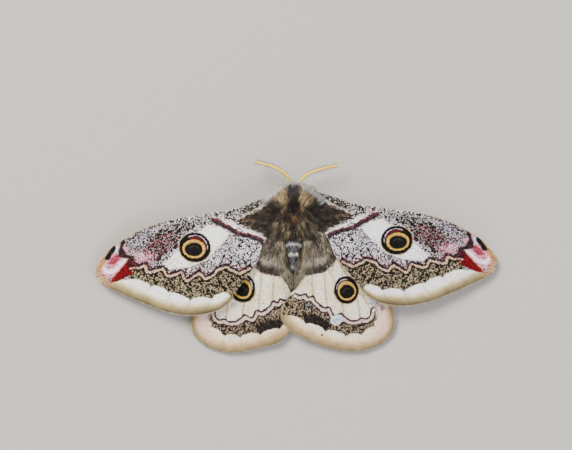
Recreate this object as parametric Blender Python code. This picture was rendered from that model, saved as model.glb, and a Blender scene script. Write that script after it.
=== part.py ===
"""Emperor moth, a female at rest with her wings spread, as a still life-size model.

The moth stands on the floor at z = 0 with her head towards +Y. Sizes are in millimetres
from the middle line of her body, and the last step turns them into metres.
"""

import math
import random

import bmesh
import bpy
from mathutils import Matrix, Vector
from mathutils.geometry import delaunay_2d_cdt, intersect_point_line

MM = 0.001

# Driving sizes
BODY_SHIFT = -0.5  # where the body's middle line lies, as the left wing reaches less far
GAP = 0.3  # air between a piece and what it grows from
MEMBRANE = 0.5  # thickness of a wing
SHEET_STEP = 2.7  # distance between a wing's points
VEIN = {"half": 0.42, "rise": 0.22, "sink": 0.1, "step": 2.8}
MARGIN = 0.9  # how far short of the wing's edge its veins end
COAT_SEED = 7

THORAX = {"centre": (0.0, 7.9, 4.1), "half": (4.1, 4.2, 3.6)}
HEAD = {"centre": (0.0, 12.5, 3.3), "half": (1.9, 1.6, 1.5)}
EYE = {"centre": (1.85, 12.8, 2.95), "radius": 0.75}
ABDOMEN = {"front": 5.4, "tip": -6.2, "half_width": 2.4, "half_height": 2.1, "segments": 7}

# The right forewing seen from above, and three marks that carry its shape to the left one
FOREWING_OUTLINE = (
    (2.4, 10.9), (4.4, 12.0), (6.6, 11.5), (11.6, 9.9), (18.2, 8.9), (25.0, 7.9), (30.4, 6.2),
    (35.2, 3.5), (38.0, 0.5), (38.6, -1.6), (36.6, -3.8), (31.4, -6.2), (25.6, -8.4),
    (20.8, -9.2), (16.4, -8.6), (13.5, -7.0), (12.3, -5.4), (10.0, -2.6), (7.8, 0.3),
    (6.6, 3.3), (4.8, 5.4), (2.2, 6.6),
)
FOREWING_MARKS = ((4.2, 9.5), (38.6, -1.3), (12.7, -6.1))
LEFT_FOREWING_MARKS = ((3.7, 8.7), (37.4, -3.2), (11.4, -7.6))
FOREWING_HEIGHT = {"root": 6.0, "slope": 1.1, "bow": 3.1, "reach": 38.0}
FOREWING_VEINS = (
    ((3.0, 9.9), (9.0, 9.3), (16.0, 8.2), (24.0, 7.1)),
    ((3.0, 9.0), (10.0, 8.0), (15.0, 6.9), (18.5, 5.9), (25.5, 5.4), (30.5, 4.5), (35.0, 2.4)),
    ((18.5, 5.9), (24.0, 4.6), (28.8, 3.3), (32.0, 1.0), (35.6, -2.9)),
    ((28.8, 3.3), (33.0, 2.0), (37.2, -0.4)),
    ((18.5, 5.9), (20.2, 4.3), (20.0, 2.8), (17.6, 1.5)),
    ((20.0, 2.8), (24.0, 0.4), (28.0, -3.8), (30.0, -6.0)),
    ((3.0, 8.2), (7.4, 6.8), (12.2, 4.8), (17.6, 1.5), (21.8, -1.4), (25.8, -7.6)),
    ((15.0, 3.2), (18.6, -1.8), (21.4, -8.2)),
    ((12.2, 4.8), (14.4, -0.6), (17.4, -8.0)),
    ((3.0, 7.4), (6.6, 5.0), (9.4, 0.8), (12.6, -4.4)),
)

# The hindwings, whose inner margins differ where the right one lies over the left one
HINDWING_OUTER = (
    (1.6, 6.2), (5.8, 4.2), (11.4, -1.2), (15.9, -5.4), (18.3, -8.9), (19.3, -12.2),
    (18.4, -14.9), (16.2, -16.8), (12.9, -17.8), (9.3, -17.8), (5.3, -16.8),
)
RIGHT_INNER_MARGIN = (
    (2.0, -15.4), (-0.7, -13.8), (-2.2, -11.9), (-1.9, -9.3), (-0.4, -7.0), (0.9, -5.2),
    (1.5, -1.5), (1.8, 2.6),
)
LEFT_INNER_MARGIN = (
    (2.6, -16.1), (0.7, -15.2), (0.2, -13.4), (-0.3, -10.6), (0.0, -7.6), (0.9, -5.2),
    (1.5, -1.5), (1.8, 2.6),
)
LEFT_HINDWING_SHIFT = (0.2, -0.2)
HINDWING_HEIGHT = {"root": 4.6, "slope": 0.45, "bow": 1.6, "reach": 20.0}
HINDWING_ROOT = (2.5, 6.0)
HINDWING_LIFT = 0.55  # how far the inner margins rise or sink where the two wings overlap
HINDWING_VEINS = (
    ((3.0, 4.6), (7.4, 1.0), (11.6, -3.6), (15.8, -8.2), (18.2, -12.4)),
    ((7.4, 1.0), (10.6, -4.4), (14.4, -9.8), (16.2, -15.8)),
    ((10.6, -4.4), (12.2, -9.0), (12.9, -16.6)),
    ((3.0, 3.6), (5.6, -0.6), (8.2, -5.6), (9.4, -10.6), (9.5, -16.6)),
    ((5.6, -0.6), (6.0, -6.0), (6.4, -11.0), (6.0, -15.8)),
    ((3.0, 2.0), (3.4, -3.4), (3.6, -8.6), (2.6, -14.0)),
)
HINDWING_HAIR = {"count": 7, "reach": 4.6, "width": 1.15}

# Hip, knee, ankle and toe of each right leg
LEGS = {
    "fore": ((1.7, 10.0, 1.9), (4.7, 11.0, 3.0), (6.9, 10.1, 0.75), (10.3, 8.6, 0.24)),
    "mid": ((2.3, 7.8, 1.8), (6.1, 7.2, 2.9), (8.9, 5.4, 0.75), (12.1, 3.2, 0.24)),
    "hind": ((2.1, 6.0, 1.9), (5.4, 2.4, 2.6), (7.6, -1.4, 0.75), (9.4, -5.2, 0.24)),
}
LEG_RADII = (0.6, 0.45, 0.28)
ANTENNA_ROOT = ((0.5, 12.4, 3.4), (1.05, 13.7, 4.3))
ANTENNA_PATHS = {
    1: ((1.6, 14.6, 4.8), (2.8, 15.6, 5.1), (5.3, 16.5, 5.3), (8.4, 17.2, 5.1)),
    -1: ((1.1, 15.0, 4.8), (2.1, 16.0, 5.1), (4.3, 17.1, 5.3), (7.4, 17.9, 5.1)),
}
ANTENNA_RADII = (0.3, 0.3, 0.3, 0.28, 0.26, 0.14)
TEETH = {"pairs": 13, "length": 0.65, "width": 0.3}

# The coat: how many locks each part of it has and how far it reaches
# Each tier of the ruff has its tilt on the thorax, its count, its setback and its height
RUFF = {
    "half_width": 6.1, "front": 14.2, "fall": 0.063, "side_tilt": 58.0,
    "tiers": ((30.0, 11, 0.0, 5.25), (48.0, 8, 0.9, 6.1), (62.0, 5, 1.9, 7.0)),
}
SHOULDER = {"count": 5}
FLANK = {"count": 4, "first": 52.0, "last": 96.0}
BACK = {"rows": 4}
REAR = {"count": 7, "reach": 2.9, "half_width": 3.9, "spread": 40.0}
BROW = {"count": 5}
LOCK_SHAPE = ((0.42, 0.3), (0.52, 0.3), (0.38, 0.22))  # half width, half thickness
FOREWING_FRONT = {"edge": 13.6, "fall": 0.32}  # the line of the forewing's front edge near its root

COLOURS = {
    "fur": ((0.15, 0.12, 0.09), 0.95),
    "abdomen": ((0.17, 0.15, 0.14), 0.9),
    "wing": ((0.42, 0.38, 0.36), 0.85),
    "eye": ((0.02, 0.015, 0.012), 0.2),
    "antenna": ((0.60, 0.44, 0.14), 0.6),
    "leg": ((0.18, 0.14, 0.10), 0.85),
}


def clear_scene():
    for item in list(bpy.data.objects):
        bpy.data.objects.remove(item, do_unlink=True)


def make_collection(name):
    group = bpy.data.collections.new(name)
    bpy.context.scene.collection.children.link(group)
    return group


def make_material(name, colour, roughness):
    material = bpy.data.materials.new(name)
    material.use_nodes = True
    shader = material.node_tree.nodes["Principled BSDF"]
    shader.inputs["Base Color"].default_value = (*colour, 1.0)
    shader.inputs["Roughness"].default_value = roughness
    shader.inputs["Metallic"].default_value = 0.0
    return material


def object_from_bmesh(name, bm):
    bmesh.ops.recalc_face_normals(bm, faces=bm.faces)
    mesh = bpy.data.meshes.new(name)
    bm.to_mesh(mesh)
    bm.free()
    item = bpy.data.objects.new(name, mesh)
    tools.objects.link(item)
    return item


def apply_modifiers(item):
    bpy.context.view_layer.update()
    done = item.evaluated_get(bpy.context.evaluated_depsgraph_get())
    mesh = bpy.data.meshes.new_from_object(done)
    item.modifiers.clear()
    item.data = mesh


def cut_by(item, cutters):
    """Takes each cutter away from the item, then removes the cutters."""
    for cutter in cutters:
        cutter.hide_render = True
        cutter.display_type = "WIRE"
        cut = item.modifiers.new("cut", "BOOLEAN")
        cut.operation = "DIFFERENCE"
        cut.object = cutter
    apply_modifiers(item)
    for cutter in cutters:
        bpy.data.objects.remove(cutter, do_unlink=True)
    keep_largest(item)


def keep_largest(item):
    """Keeps the largest closed surface, so that no loose scrap stays on a node."""
    bm = bmesh.new()
    bm.from_mesh(item.data)
    bmesh.ops.remove_doubles(bm, verts=bm.verts, dist=0.0005)
    bm.verts.ensure_lookup_table()
    seen = set()
    bodies = []
    for start in bm.verts:
        if start in seen:
            continue
        seen.add(start)
        body = [start]
        for vertex in body:
            for edge in vertex.link_edges:
                other = edge.other_vert(vertex)
                if other not in seen:
                    seen.add(other)
                    body.append(other)
        bodies.append(body)
    bodies.sort(key=len, reverse=True)
    for body in bodies[1:]:
        bmesh.ops.delete(bm, geom=body, context="VERTS")
    bm.to_mesh(item.data)
    bm.free()


def smooth_path(points, spacing, closed=False):
    """Points about spacing apart on a Catmull-Rom curve through the given ones."""
    points = [Vector(point) for point in points]
    count = len(points)
    path = []
    for i in range(count if closed else count - 1):
        if closed:
            a, b, c, d = (points[(i + k) % count] for k in (-1, 0, 1, 2))
        else:
            a, b, c, d = (points[min(max(i + k, 0), count - 1)] for k in (-1, 0, 1, 2))
        steps = max(1, round((c - b).length / spacing))
        for k in range(steps):
            t = k / steps
            path.append(
                0.5 * (2.0 * b + (c - a) * t + (2.0 * a - 5.0 * b + 4.0 * c - d) * t * t
                       + (3.0 * b - a - 3.0 * c + d) * t ** 3)
            )
    if not closed:
        path.append(points[-1])
    return path


def smoothstep(low, high, value):
    t = min(max((value - low) / (high - low), 0.0), 1.0)
    return t * t * (3.0 - 2.0 * t)


def ellipsoid(name, shape, grow=0.0, segments=20, rings=14):
    """An egg of the named centre and half sizes, with its poles along the body."""
    bm = bmesh.new()
    turn = Matrix.Rotation(math.radians(-90.0), 4, "X")
    bmesh.ops.create_uvsphere(bm, u_segments=segments, v_segments=rings, radius=1.0, matrix=turn)
    size = Vector(shape["half"]) + Vector((grow, grow, grow))
    bmesh.ops.scale(bm, vec=size, verts=bm.verts)
    bmesh.ops.translate(bm, vec=Vector(shape["centre"]), verts=bm.verts)
    return object_from_bmesh(name, bm)


def ball(name, centre, radius):
    bm = bmesh.new()
    bmesh.ops.create_uvsphere(bm, u_segments=14, v_segments=10, radius=radius)
    bmesh.ops.translate(bm, vec=Vector(centre), verts=bm.verts)
    return object_from_bmesh(name, bm)


def tube(name, points, radii):
    """A tapered tube along a smooth line, as one closed mesh."""
    curve = bpy.data.curves.new(name, "CURVE")
    curve.dimensions = "3D"
    curve.bevel_depth = 1.0
    curve.bevel_resolution = 2
    curve.use_fill_caps = True
    spline = curve.splines.new("POLY")
    spline.points.add(len(points) - 1)
    for point, place, radius in zip(spline.points, points, radii):
        point.co = (*place, 1.0)
        point.radius = radius
    item = bpy.data.objects.new(name, curve)
    tools.objects.link(item)
    bpy.context.view_layer.update()
    done = item.evaluated_get(bpy.context.evaluated_depsgraph_get())
    bm = bmesh.new()
    bm.from_mesh(bpy.data.meshes.new_from_object(done))
    bmesh.ops.remove_doubles(bm, verts=bm.verts, dist=0.001)
    bpy.data.objects.remove(item, do_unlink=True)
    return object_from_bmesh(name, bm)


def mirrored(points, side):
    return [Vector((side * point[0], *point[1:])) for point in points]


def plan_map(sources, targets):
    """The affine map that carries three plan points to three others."""
    def frame(marks):
        a, b, c = (Vector(mark) for mark in marks)
        return Matrix(((b.x - a.x, c.x - a.x), (b.y - a.y, c.y - a.y))), a

    source, source_root = frame(sources)
    target, target_root = frame(targets)
    turn = target @ source.inverted()
    return lambda point: turn @ (Vector(point) - source_root) + target_root


def forewing_height(point):
    part = point.x / FOREWING_HEIGHT["reach"]
    return (FOREWING_HEIGHT["root"] - FOREWING_HEIGHT["slope"] * part
            - FOREWING_HEIGHT["bow"] * part * part)


def hindwing_height(point, side):
    part = (point - Vector(HINDWING_ROOT)).length / HINDWING_HEIGHT["reach"]
    height = (HINDWING_HEIGHT["root"] - HINDWING_HEIGHT["slope"] * part
              - HINDWING_HEIGHT["bow"] * part * part)
    lift = smoothstep(4.5, 1.5, point.y)
    if side < 0:
        lift -= 2.0 * smoothstep(-4.2, -6.8, point.y)
    return height + HINDWING_LIFT * lift * math.exp(-(point.x / 3.0) ** 2)


def wing(name, outline, veins, place, height):
    """A thin bowed sheet with raised veins, and the same triangles on both faces.

    place carries a point of the outline's plan to this wing's own plan, and height gives
    the middle of the sheet there.
    """
    border = smooth_path(outline, SHEET_STEP, closed=True)
    points = list(border)
    edges = []
    lines = [smooth_path(vein, VEIN["step"]) for vein in veins]
    for line in lines:
        add_vein(line, border, points, edges)
    low = Vector((min(p.x for p in border), min(p.y for p in border)))
    high = Vector((max(p.x for p in border), max(p.y for p in border)))
    for row in range(int((high.y - low.y) / SHEET_STEP) + 1):
        for column in range(int((high.x - low.x) / SHEET_STEP) + 1):
            spot = low + Vector((column + 0.5 * (row % 2), row)) * SHEET_STEP
            if (distance_to(spot, border, closed=True) > 0.5 * SHEET_STEP
                    and all(distance_to(spot, line) > 0.45 * SHEET_STEP for line in lines)):
                points.append(spot)
    loop = list(range(len(border)))
    flat, _, faces, *_ = delaunay_2d_cdt(points, edges, [loop], 1, 0.03)
    bm = bmesh.new()
    tops = []
    ridges = []
    for spot in flat:
        plan = place(spot)
        tops.append(bm.verts.new((plan.x, plan.y, height(plan))))
        ridges.append(ridge(spot, lines))
    for face in faces:
        bm.faces.new([tops[i] for i in face])
    grown = bmesh.ops.extrude_face_region(bm, geom=list(bm.faces))["geom"]
    grown = [v for v in grown if isinstance(v, bmesh.types.BMVert)]
    heights = {(v.co.x, v.co.y): rise for v, rise in zip(tops, ridges)}
    for vertex in tops:
        vertex.co.z -= 0.5 * MEMBRANE + VEIN["sink"] * heights[vertex.co.x, vertex.co.y]
    for vertex in grown:
        vertex.co.z += 0.5 * MEMBRANE + VEIN["rise"] * heights[vertex.co.x, vertex.co.y]
    loose = [v for v in bm.verts if not v.link_faces]
    bmesh.ops.delete(bm, geom=loose, context="VERTS")
    return object_from_bmesh(name, bm)


def add_vein(line, border, points, edges):
    """Adds a vein's middle and both its feet to the points, with the edges that hold them."""
    last = None
    for i, spot in enumerate(line):
        if distance_to(spot, border, closed=True) < MARGIN:
            continue
        along = (line[min(i + 1, len(line) - 1)] - line[max(i - 1, 0)]).normalized()
        across = Vector((-along.y, along.x)) * VEIN["half"]
        now = []
        for shift in (-1.0, 0.0, 1.0):
            now.append(len(points))
            points.append(spot + across * shift)
        if last:
            edges.extend(zip(last, now))
        last = now


def ridge(spot, lines):
    """How high a vein stands at a place, from 0 beside it to 1 on its middle."""
    return max(0.0, 1.0 - min(distance_to(spot, line) for line in lines) / VEIN["half"])


def limb(name, path, sizes, up):
    """A flat tapered piece along a path, four-sided, that ends in a point.

    sizes gives its half width and half thickness at each place of the path but the last,
    and up is the way that its flat side faces.
    """
    bm = bmesh.new()
    bmesh.ops.create_circle(bm, cap_ends=True, segments=4, radius=1.0)
    cap = bm.faces[:][0]
    before = Matrix.Identity(4)
    for i, place in enumerate(path):
        along = (path[min(i + 1, len(path) - 1)] - path[max(i - 1, 0)]).normalized()
        across = along.cross(up).normalized()
        rise = across.cross(along)
        wide, thick = sizes[i] if i < len(sizes) else (0.05, 0.05)
        now = Matrix((across * wide, rise * thick, along)).transposed().to_4x4()
        now.translation = place
        if i:
            old = cap
            grown = bmesh.ops.extrude_face_region(bm, geom=[cap])["geom"]
            cap = next(part for part in grown if isinstance(part, bmesh.types.BMFace))
            if i > 1:
                bmesh.ops.delete(bm, geom=[old], context="FACES_ONLY")
        bmesh.ops.transform(bm, matrix=now @ before.inverted(), verts=cap.verts)
        before = now
    bmesh.ops.pointmerge(bm, verts=cap.verts, merge_co=path[-1])
    return object_from_bmesh(name, bm)


def lock(root, tip, bow, width, up=Vector((0.0, 0.0, 1.0)), limit=None):
    """A lock of hair from its sunk root to its tip, bent by bow on the way."""
    middle = (root + tip) * 0.5 + bow * 2.0
    path = [bezier(root, middle, tip, part) for part in (0.0, 0.36, 0.74, 1.0)]
    if limit:
        path = [limit(place) for place in path]
    sizes = [(width * wide, thick) for wide, thick in LOCK_SHAPE]
    return limb("lock", path, sizes, up)


def bezier(a, b, c, part):
    return a * (1.0 - part) ** 2 + b * 2.0 * part * (1.0 - part) + c * part ** 2


def join(item, pieces, solver="EXACT"):
    """Fuses the pieces with the item as one closed body."""
    group = bpy.data.collections.new("pieces")
    for piece in pieces:
        group.objects.link(piece)
    union = item.modifiers.new("union", "BOOLEAN")
    union.operation = "UNION"
    union.operand_type = "COLLECTION"
    union.collection = group
    union.solver = solver
    apply_modifiers(item)
    for piece in pieces:
        bpy.data.objects.remove(piece, do_unlink=True)
    bpy.data.collections.remove(group)
    keep_largest(item)


def distance_to(spot, line, closed=False):
    best = 1e9
    for i in range(len(line) if closed else len(line) - 1):
        a = line[i]
        b = line[(i + 1) % len(line)]
        near, part = intersect_point_line(spot, a, b)
        near = a.lerp(b, min(max(part, 0.0), 1.0))
        best = min(best, (near - spot).length)
    return best


def forewing(side, name):
    marks = FOREWING_MARKS if side > 0 else LEFT_FOREWING_MARKS
    place = plan_map(FOREWING_MARKS, marks)
    item = wing(name, FOREWING_OUTLINE, FOREWING_VEINS, place, forewing_height)
    item.data.transform(Matrix.Diagonal((side, 1.0, 1.0, 1.0)))
    finish_mirror(item, side)
    cut_by(item, [ellipsoid("cutter", THORAX, GAP)])
    return item


def hindwing(side, name):
    inner = RIGHT_INNER_MARGIN if side > 0 else LEFT_INNER_MARGIN
    shift = Vector((0.0, 0.0)) if side > 0 else Vector(LEFT_HINDWING_SHIFT)
    outline = [*HINDWING_OUTER, *inner]
    item = wing(
        name, outline, HINDWING_VEINS, lambda spot: spot + shift * smoothstep(4.0, -4.0, spot.y),
        lambda plan: hindwing_height(plan, side),
    )
    join(item, hindwing_hair(side))
    item.data.transform(Matrix.Diagonal((side, 1.0, 1.0, 1.0)))
    finish_mirror(item, side)
    cut_by(item, [ellipsoid("cutter", THORAX, GAP)])
    return item


def hindwing_hair(side):
    """Long locks over the wing's base, lying back beside the abdomen."""
    draw = random.Random(COAT_SEED + side)
    locks = []
    for i in range(HINDWING_HAIR["count"]):
        part = i / (HINDWING_HAIR["count"] - 1)
        start = Vector((2.3 + 3.0 * part, 2.6 - 0.9 * part))
        reach = HINDWING_HAIR["reach"] * draw.uniform(0.85, 1.1) * (1.0 - 0.15 * part)
        end = start + Vector((0.1 + 0.25 * part, -1.0)) * reach
        root = Vector((*start, hindwing_height(start, side)))
        tip = Vector((*end, hindwing_height(end, side) + 0.45))
        locks.append(lock(root, tip, Vector((0.0, 0.0, 0.22)), HINDWING_HAIR["width"]))
    return locks


def finish_mirror(item, side):
    if side < 0:
        item.data.flip_normals()


def on_shape(shape, turn, tilt, sink=0.0):
    """A place on an egg: turn goes round from the head end, tilt rises from its waist."""
    turn = math.radians(turn)
    tilt = math.radians(tilt)
    way = Vector((math.sin(turn) * math.cos(tilt), math.cos(turn) * math.cos(tilt), math.sin(tilt)))
    size = Vector(shape["half"]) - Vector((sink, sink, sink))
    return Vector(shape["centre"]) + Vector(a * b for a, b in zip(way, size))


def above_wings(place):
    """Lifts a place of the coat clear of the forewings, which start further in behind."""
    out = abs(place.x)
    edge = FOREWING_FRONT["edge"] - FOREWING_FRONT["fall"] * out
    inner = 1.8 + 1.1 * smoothstep(6.2, 7.4, place.y)
    if out < inner or place.y > edge + 0.45:
        return place
    least = forewing_height(Vector((out, place.y))) + 0.5 * MEMBRANE + VEIN["rise"] + GAP + 0.32
    return Vector((place.x, place.y, max(place.z, least)))


def thorax_coat():
    """The collar's ruff, the shoulder locks over the wings' bases, the back and the rear tuft."""
    draw = random.Random(COAT_SEED)
    locks = []

    def add(root, tip, lift, width, limit=above_wings):
        jitter = Vector((draw.uniform(-0.2, 0.2), draw.uniform(-0.2, 0.2), 0.0))
        locks.append(lock(root, tip + jitter, Vector((0.0, 0.0, lift)), width, limit=limit))

    for tier, (tilt, count, back, rise) in enumerate(RUFF["tiers"]):
        for i in range(count):
            part = 2.0 * i / (count - 1) - 1.0
            out = (RUFF["half_width"] - 0.8 * tier) * part
            tip = Vector((out, RUFF["front"] - RUFF["fall"] * out * out - back, rise + 0.9 * abs(part)))
            steep = tilt + max(0.0, RUFF["side_tilt"] - tilt) * abs(part)
            add(on_shape(THORAX, 76.0 * part, steep, 0.7), tip, 0.55, 1.6)
    for side in (-1, 1):
        for i in range(SHOULDER["count"]):
            turn = 66.0 + 88.0 * i / (SHOULDER["count"] - 1)
            root = on_shape(THORAX, side * turn, 56.0, 0.6)
            tip = Vector((side * (5.6 - 0.1 * i), root.y - 0.7 - 0.3 * i, 6.7))
            add(root, tip, 0.3, 1.6)
            root = on_shape(THORAX, side * (turn + 8.0), 66.0, 0.6)
            tip = Vector((side * 4.0, root.y - 1.6, 7.2))
            add(root, tip, 0.3, 1.5)
        for i in range(FLANK["count"]):
            turn = FLANK["first"] + (FLANK["last"] - FLANK["first"]) * i / (FLANK["count"] - 1)
            turn *= side
            root = on_shape(THORAX, turn, 14.0, 0.7)
            add(root, on_shape(THORAX, turn + 8.0 * side, -2.0, -0.75), 0.05, 1.6, limit=None)
    for row in range(BACK["rows"]):
        for column in range(-1, 2):
            start = Vector((1.3 * column, 10.6 - 1.7 * row + 0.5 * (column % 2)))
            add(over_thorax(start, -0.8), over_thorax(start + Vector((0.25 * column, -2.7)), 0.45),
                0.3, 1.5)
    for i in range(REAR["count"]):
        part = 2.0 * i / (REAR["count"] - 1) - 1.0
        root = on_shape(THORAX, 180.0 - REAR["spread"] * part, 36.0 + 14.0 * abs(part), 0.7)
        tip = Vector((REAR["half_width"] * part, REAR["reach"] + 0.4 * abs(part), 6.0))
        add(root, tip, 0.25, 1.5)
    return locks


def over_thorax(start, rise):
    """A place over the thorax's back, at a given height above it."""
    centre = Vector(THORAX["centre"])
    half = THORAX["half"]
    inside = 1.0 - (start.x / half[0]) ** 2 - ((start.y - centre.y) / half[1]) ** 2
    return Vector((*start, centre.z + half[2] * math.sqrt(max(inside, 0.05)) + rise))


def thorax(name):
    item = ellipsoid(name, THORAX, segments=24, rings=16)
    join(item, thorax_coat(), "MANIFOLD")
    return item


def head(name):
    item = ellipsoid(name, HEAD)
    draw = random.Random(COAT_SEED + 2)
    brow = []
    for i in range(BROW["count"]):
        part = 2.0 * i / (BROW["count"] - 1) - 1.0
        root = on_shape(HEAD, 38.0 * part, 22.0, 0.6)
        tip = Vector((1.0 * part, 14.3 - 0.25 * abs(part), 2.9 + draw.uniform(-0.15, 0.15)))
        brow.append(lock(root, tip, Vector((0.0, 0.2, 0.2)), 0.75, Vector((0.0, 1.0, 0.4))))
    for side in (-1, 1):
        root = on_shape(HEAD, side * 30.0, -25.0, 0.6)
        tip = Vector((side * 0.8, 14.4, 1.9))
        brow.append(lock(root, tip, Vector((0.0, 0.1, -0.1)), 0.8, Vector((0.0, 0.3, 1.0))))
    join(item, brow)
    sockets = [ball("cutter", (side * EYE["centre"][0], *EYE["centre"][1:]), EYE["radius"] + GAP)
               for side in (-1, 1)]
    cut_by(item, [ellipsoid("cutter", THORAX, GAP), *sockets])
    return item


def eye(side, name):
    return ball(name, (side * EYE["centre"][0], *EYE["centre"][1:]), EYE["radius"])


def antenna(side, name):
    path = smooth_path([*ANTENNA_ROOT, *ANTENNA_PATHS[side]], 1.0)
    widths = [between(ANTENNA_RADII, i * (len(ANTENNA_RADII) - 1) / (len(path) - 1))
              for i in range(len(path))]
    path = mirrored(path, side)
    item = tube(name, path, widths)
    join(item, antenna_teeth(path, widths))
    cut_by(item, [ellipsoid("cutter", HEAD, GAP)])
    return item


def antenna_teeth(path, widths):
    """Short branches in pairs along the shaft, leaning towards its tip."""
    teeth = []
    up = Vector((0.0, 0.0, 1.0))
    for i in range(TEETH["pairs"]):
        part = 0.3 + 0.64 * i / (TEETH["pairs"] - 1)
        place = part * (len(path) - 1)
        k = int(place)
        spot = path[k].lerp(path[k + 1], place - k)
        along = (path[k + 1] - path[k]).normalized()
        across = along.cross(up).normalized()
        length = TEETH["length"] * math.sin(math.pi * min(1.0, 1.25 - part)) ** 0.5
        for way in (-1.0, 1.0):
            lean = (across * way + along * 0.55 - up * 0.25).normalized()
            reach = between(widths, place) + length
            line = [spot, spot + lean * 0.55 * reach, spot + lean * reach]
            half = 0.5 * TEETH["width"]
            teeth.append(limb("tooth", line, [(half, half), (0.8 * half, 0.8 * half)], up))
    return teeth


def between(values, part):
    """The value at a place along a list, with straight runs between its entries."""
    i = min(int(part), len(values) - 2)
    return values[i] + (values[i + 1] - values[i]) * (part - i)


def leg(side, name, points):
    """Thigh, shin and foot, each nearly straight, with a bend at knee and ankle."""
    points = [Vector(point) for point in points]
    path = []
    widths = []
    for start, end, thick in zip(points, points[1:], LEG_RADII):
        for part in (0.12, 0.45, 0.85):
            path.append(start.lerp(end, part))
            widths.append(thick * (1.0 if part < 0.5 else 0.85))
    path.append(points[-1])
    widths.append(LEG_RADII[-1])
    item = tube(name, mirrored(path, side), widths)
    bm = bmesh.new()
    bmesh.ops.create_cube(bm, size=60.0)
    bmesh.ops.translate(bm, vec=Vector((0.0, 0.0, -30.0)), verts=bm.verts)
    ground = object_from_bmesh("cutter", bm)
    cut_by(item, [ellipsoid("cutter", THORAX, GAP), ground])
    return item


def abdomen_axis(part):
    """Place of the abdomen's middle and how full it is, from 0 in front to 1 at the tip."""
    y = ABDOMEN["front"] + (ABDOMEN["tip"] - ABDOMEN["front"]) * part
    z = 2.75 - 0.35 * part - 0.85 * part * part
    return Vector((0.0, y, z))


def abdomen(name):
    bm = bmesh.new()
    turn = Matrix.Rotation(math.radians(-90.0), 4, "X")
    bmesh.ops.create_uvsphere(bm, u_segments=18, v_segments=32, radius=1.0, matrix=turn)
    for vertex in bm.verts:
        part = 0.5 * (1.0 - vertex.co.y)
        around = Vector((vertex.co.x, 0.0, vertex.co.z))
        if around.length > 1e-4:
            around.normalize()
        full = abdomen_fullness(part)
        vertex.co = abdomen_axis(part) + Vector((
            around.x * full * ABDOMEN["half_width"], 0.0, around.z * full * ABDOMEN["half_height"],
        ))
    item = object_from_bmesh(name, bm)
    join(item, abdomen_fringes())
    cut_by(item, [ellipsoid("cutter", THORAX, GAP)])
    return item


def abdomen_fullness(part):
    """The abdomen's girth along its length, with a step behind each segment."""
    round_ends = math.sqrt(max(0.0, 1.0 - (2.0 * part - 1.0) ** 2))
    within = (part * ABDOMEN["segments"]) % 1.0
    return round_ends * (1.0 - 0.22 * part) * (0.94 + 0.07 * smoothstep(0.0, 0.75, within))


def abdomen_fringes():
    """A row of short flat locks along the back edge of each ring that shows."""
    fringes = []
    for ring in range(2, ABDOMEN["segments"]):
        part = (ring + 0.7) / ABDOMEN["segments"]
        middle = abdomen_axis(part)
        full = abdomen_fullness(part)
        for k in range(-2, 3):
            angle = math.radians(17.0 * k)
            out = Vector((math.sin(angle) * ABDOMEN["half_width"], 0.0,
                          math.cos(angle) * ABDOMEN["half_height"]))
            root = middle + out * full * 0.86
            tip = middle + out * full * 1.04 + Vector((0.0, -1.25, -0.05 - 0.25 * part))
            fringes.append(lock(root, tip, Vector((0.0, 0.0, 0.12)), 0.8, out.normalized()))
    return fringes


def finish(item, material):
    """Moves a finished node into the model's group, in metres and with its material."""
    item.data.transform(Matrix.Translation((BODY_SHIFT, 0.0, 0.0)))
    item.data.transform(Matrix.Scale(MM, 4))
    item.data.materials.clear()
    item.data.materials.append(material)
    item.data.shade_smooth()
    item.data.set_sharp_from_angle(angle=math.radians(40.0))
    tools.objects.unlink(item)
    moth.objects.link(item)


clear_scene()
moth = make_collection("emperor moth")
tools = make_collection("cutters")
finishes = {name: make_material(name, *values) for name, values in COLOURS.items()}

finish(thorax("thorax"), finishes["fur"])
finish(head("head"), finishes["fur"])
finish(abdomen("abdomen"), finishes["abdomen"])
for side, word in ((1, "right"), (-1, "left")):
    finish(forewing(side, f"forewing_{word}"), finishes["wing"])
    finish(hindwing(side, f"hindwing_{word}"), finishes["wing"])
    finish(eye(side, f"eye_{word}"), finishes["eye"])
    finish(antenna(side, f"antenna_{word}"), finishes["antenna"])
    for pair, points in LEGS.items():
        finish(leg(side, f"leg_{pair}_{word}", points), finishes["leg"])
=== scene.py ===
import math

import bmesh
import bpy
import numpy as np
from mathutils import Matrix, Vector


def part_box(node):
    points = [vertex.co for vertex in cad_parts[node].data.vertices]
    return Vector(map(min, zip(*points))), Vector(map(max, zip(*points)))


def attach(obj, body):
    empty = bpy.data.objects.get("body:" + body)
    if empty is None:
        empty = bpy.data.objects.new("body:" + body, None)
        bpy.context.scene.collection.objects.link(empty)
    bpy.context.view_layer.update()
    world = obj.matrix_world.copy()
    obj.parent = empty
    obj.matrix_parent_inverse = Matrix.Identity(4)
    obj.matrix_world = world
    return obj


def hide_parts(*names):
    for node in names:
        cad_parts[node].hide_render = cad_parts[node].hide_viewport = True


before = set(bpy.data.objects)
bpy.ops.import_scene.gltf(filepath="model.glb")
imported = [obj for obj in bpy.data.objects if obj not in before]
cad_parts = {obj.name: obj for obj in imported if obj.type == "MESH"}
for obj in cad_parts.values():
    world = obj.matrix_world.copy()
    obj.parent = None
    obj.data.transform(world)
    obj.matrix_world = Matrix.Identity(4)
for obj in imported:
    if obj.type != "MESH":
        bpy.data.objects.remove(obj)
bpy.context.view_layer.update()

# Emperor moth, a female at rest. Lengths are in millimetres from the middle line of her body,
# and mm turns them to metres. A wing is drawn and painted as the right one seen from above.

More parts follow.
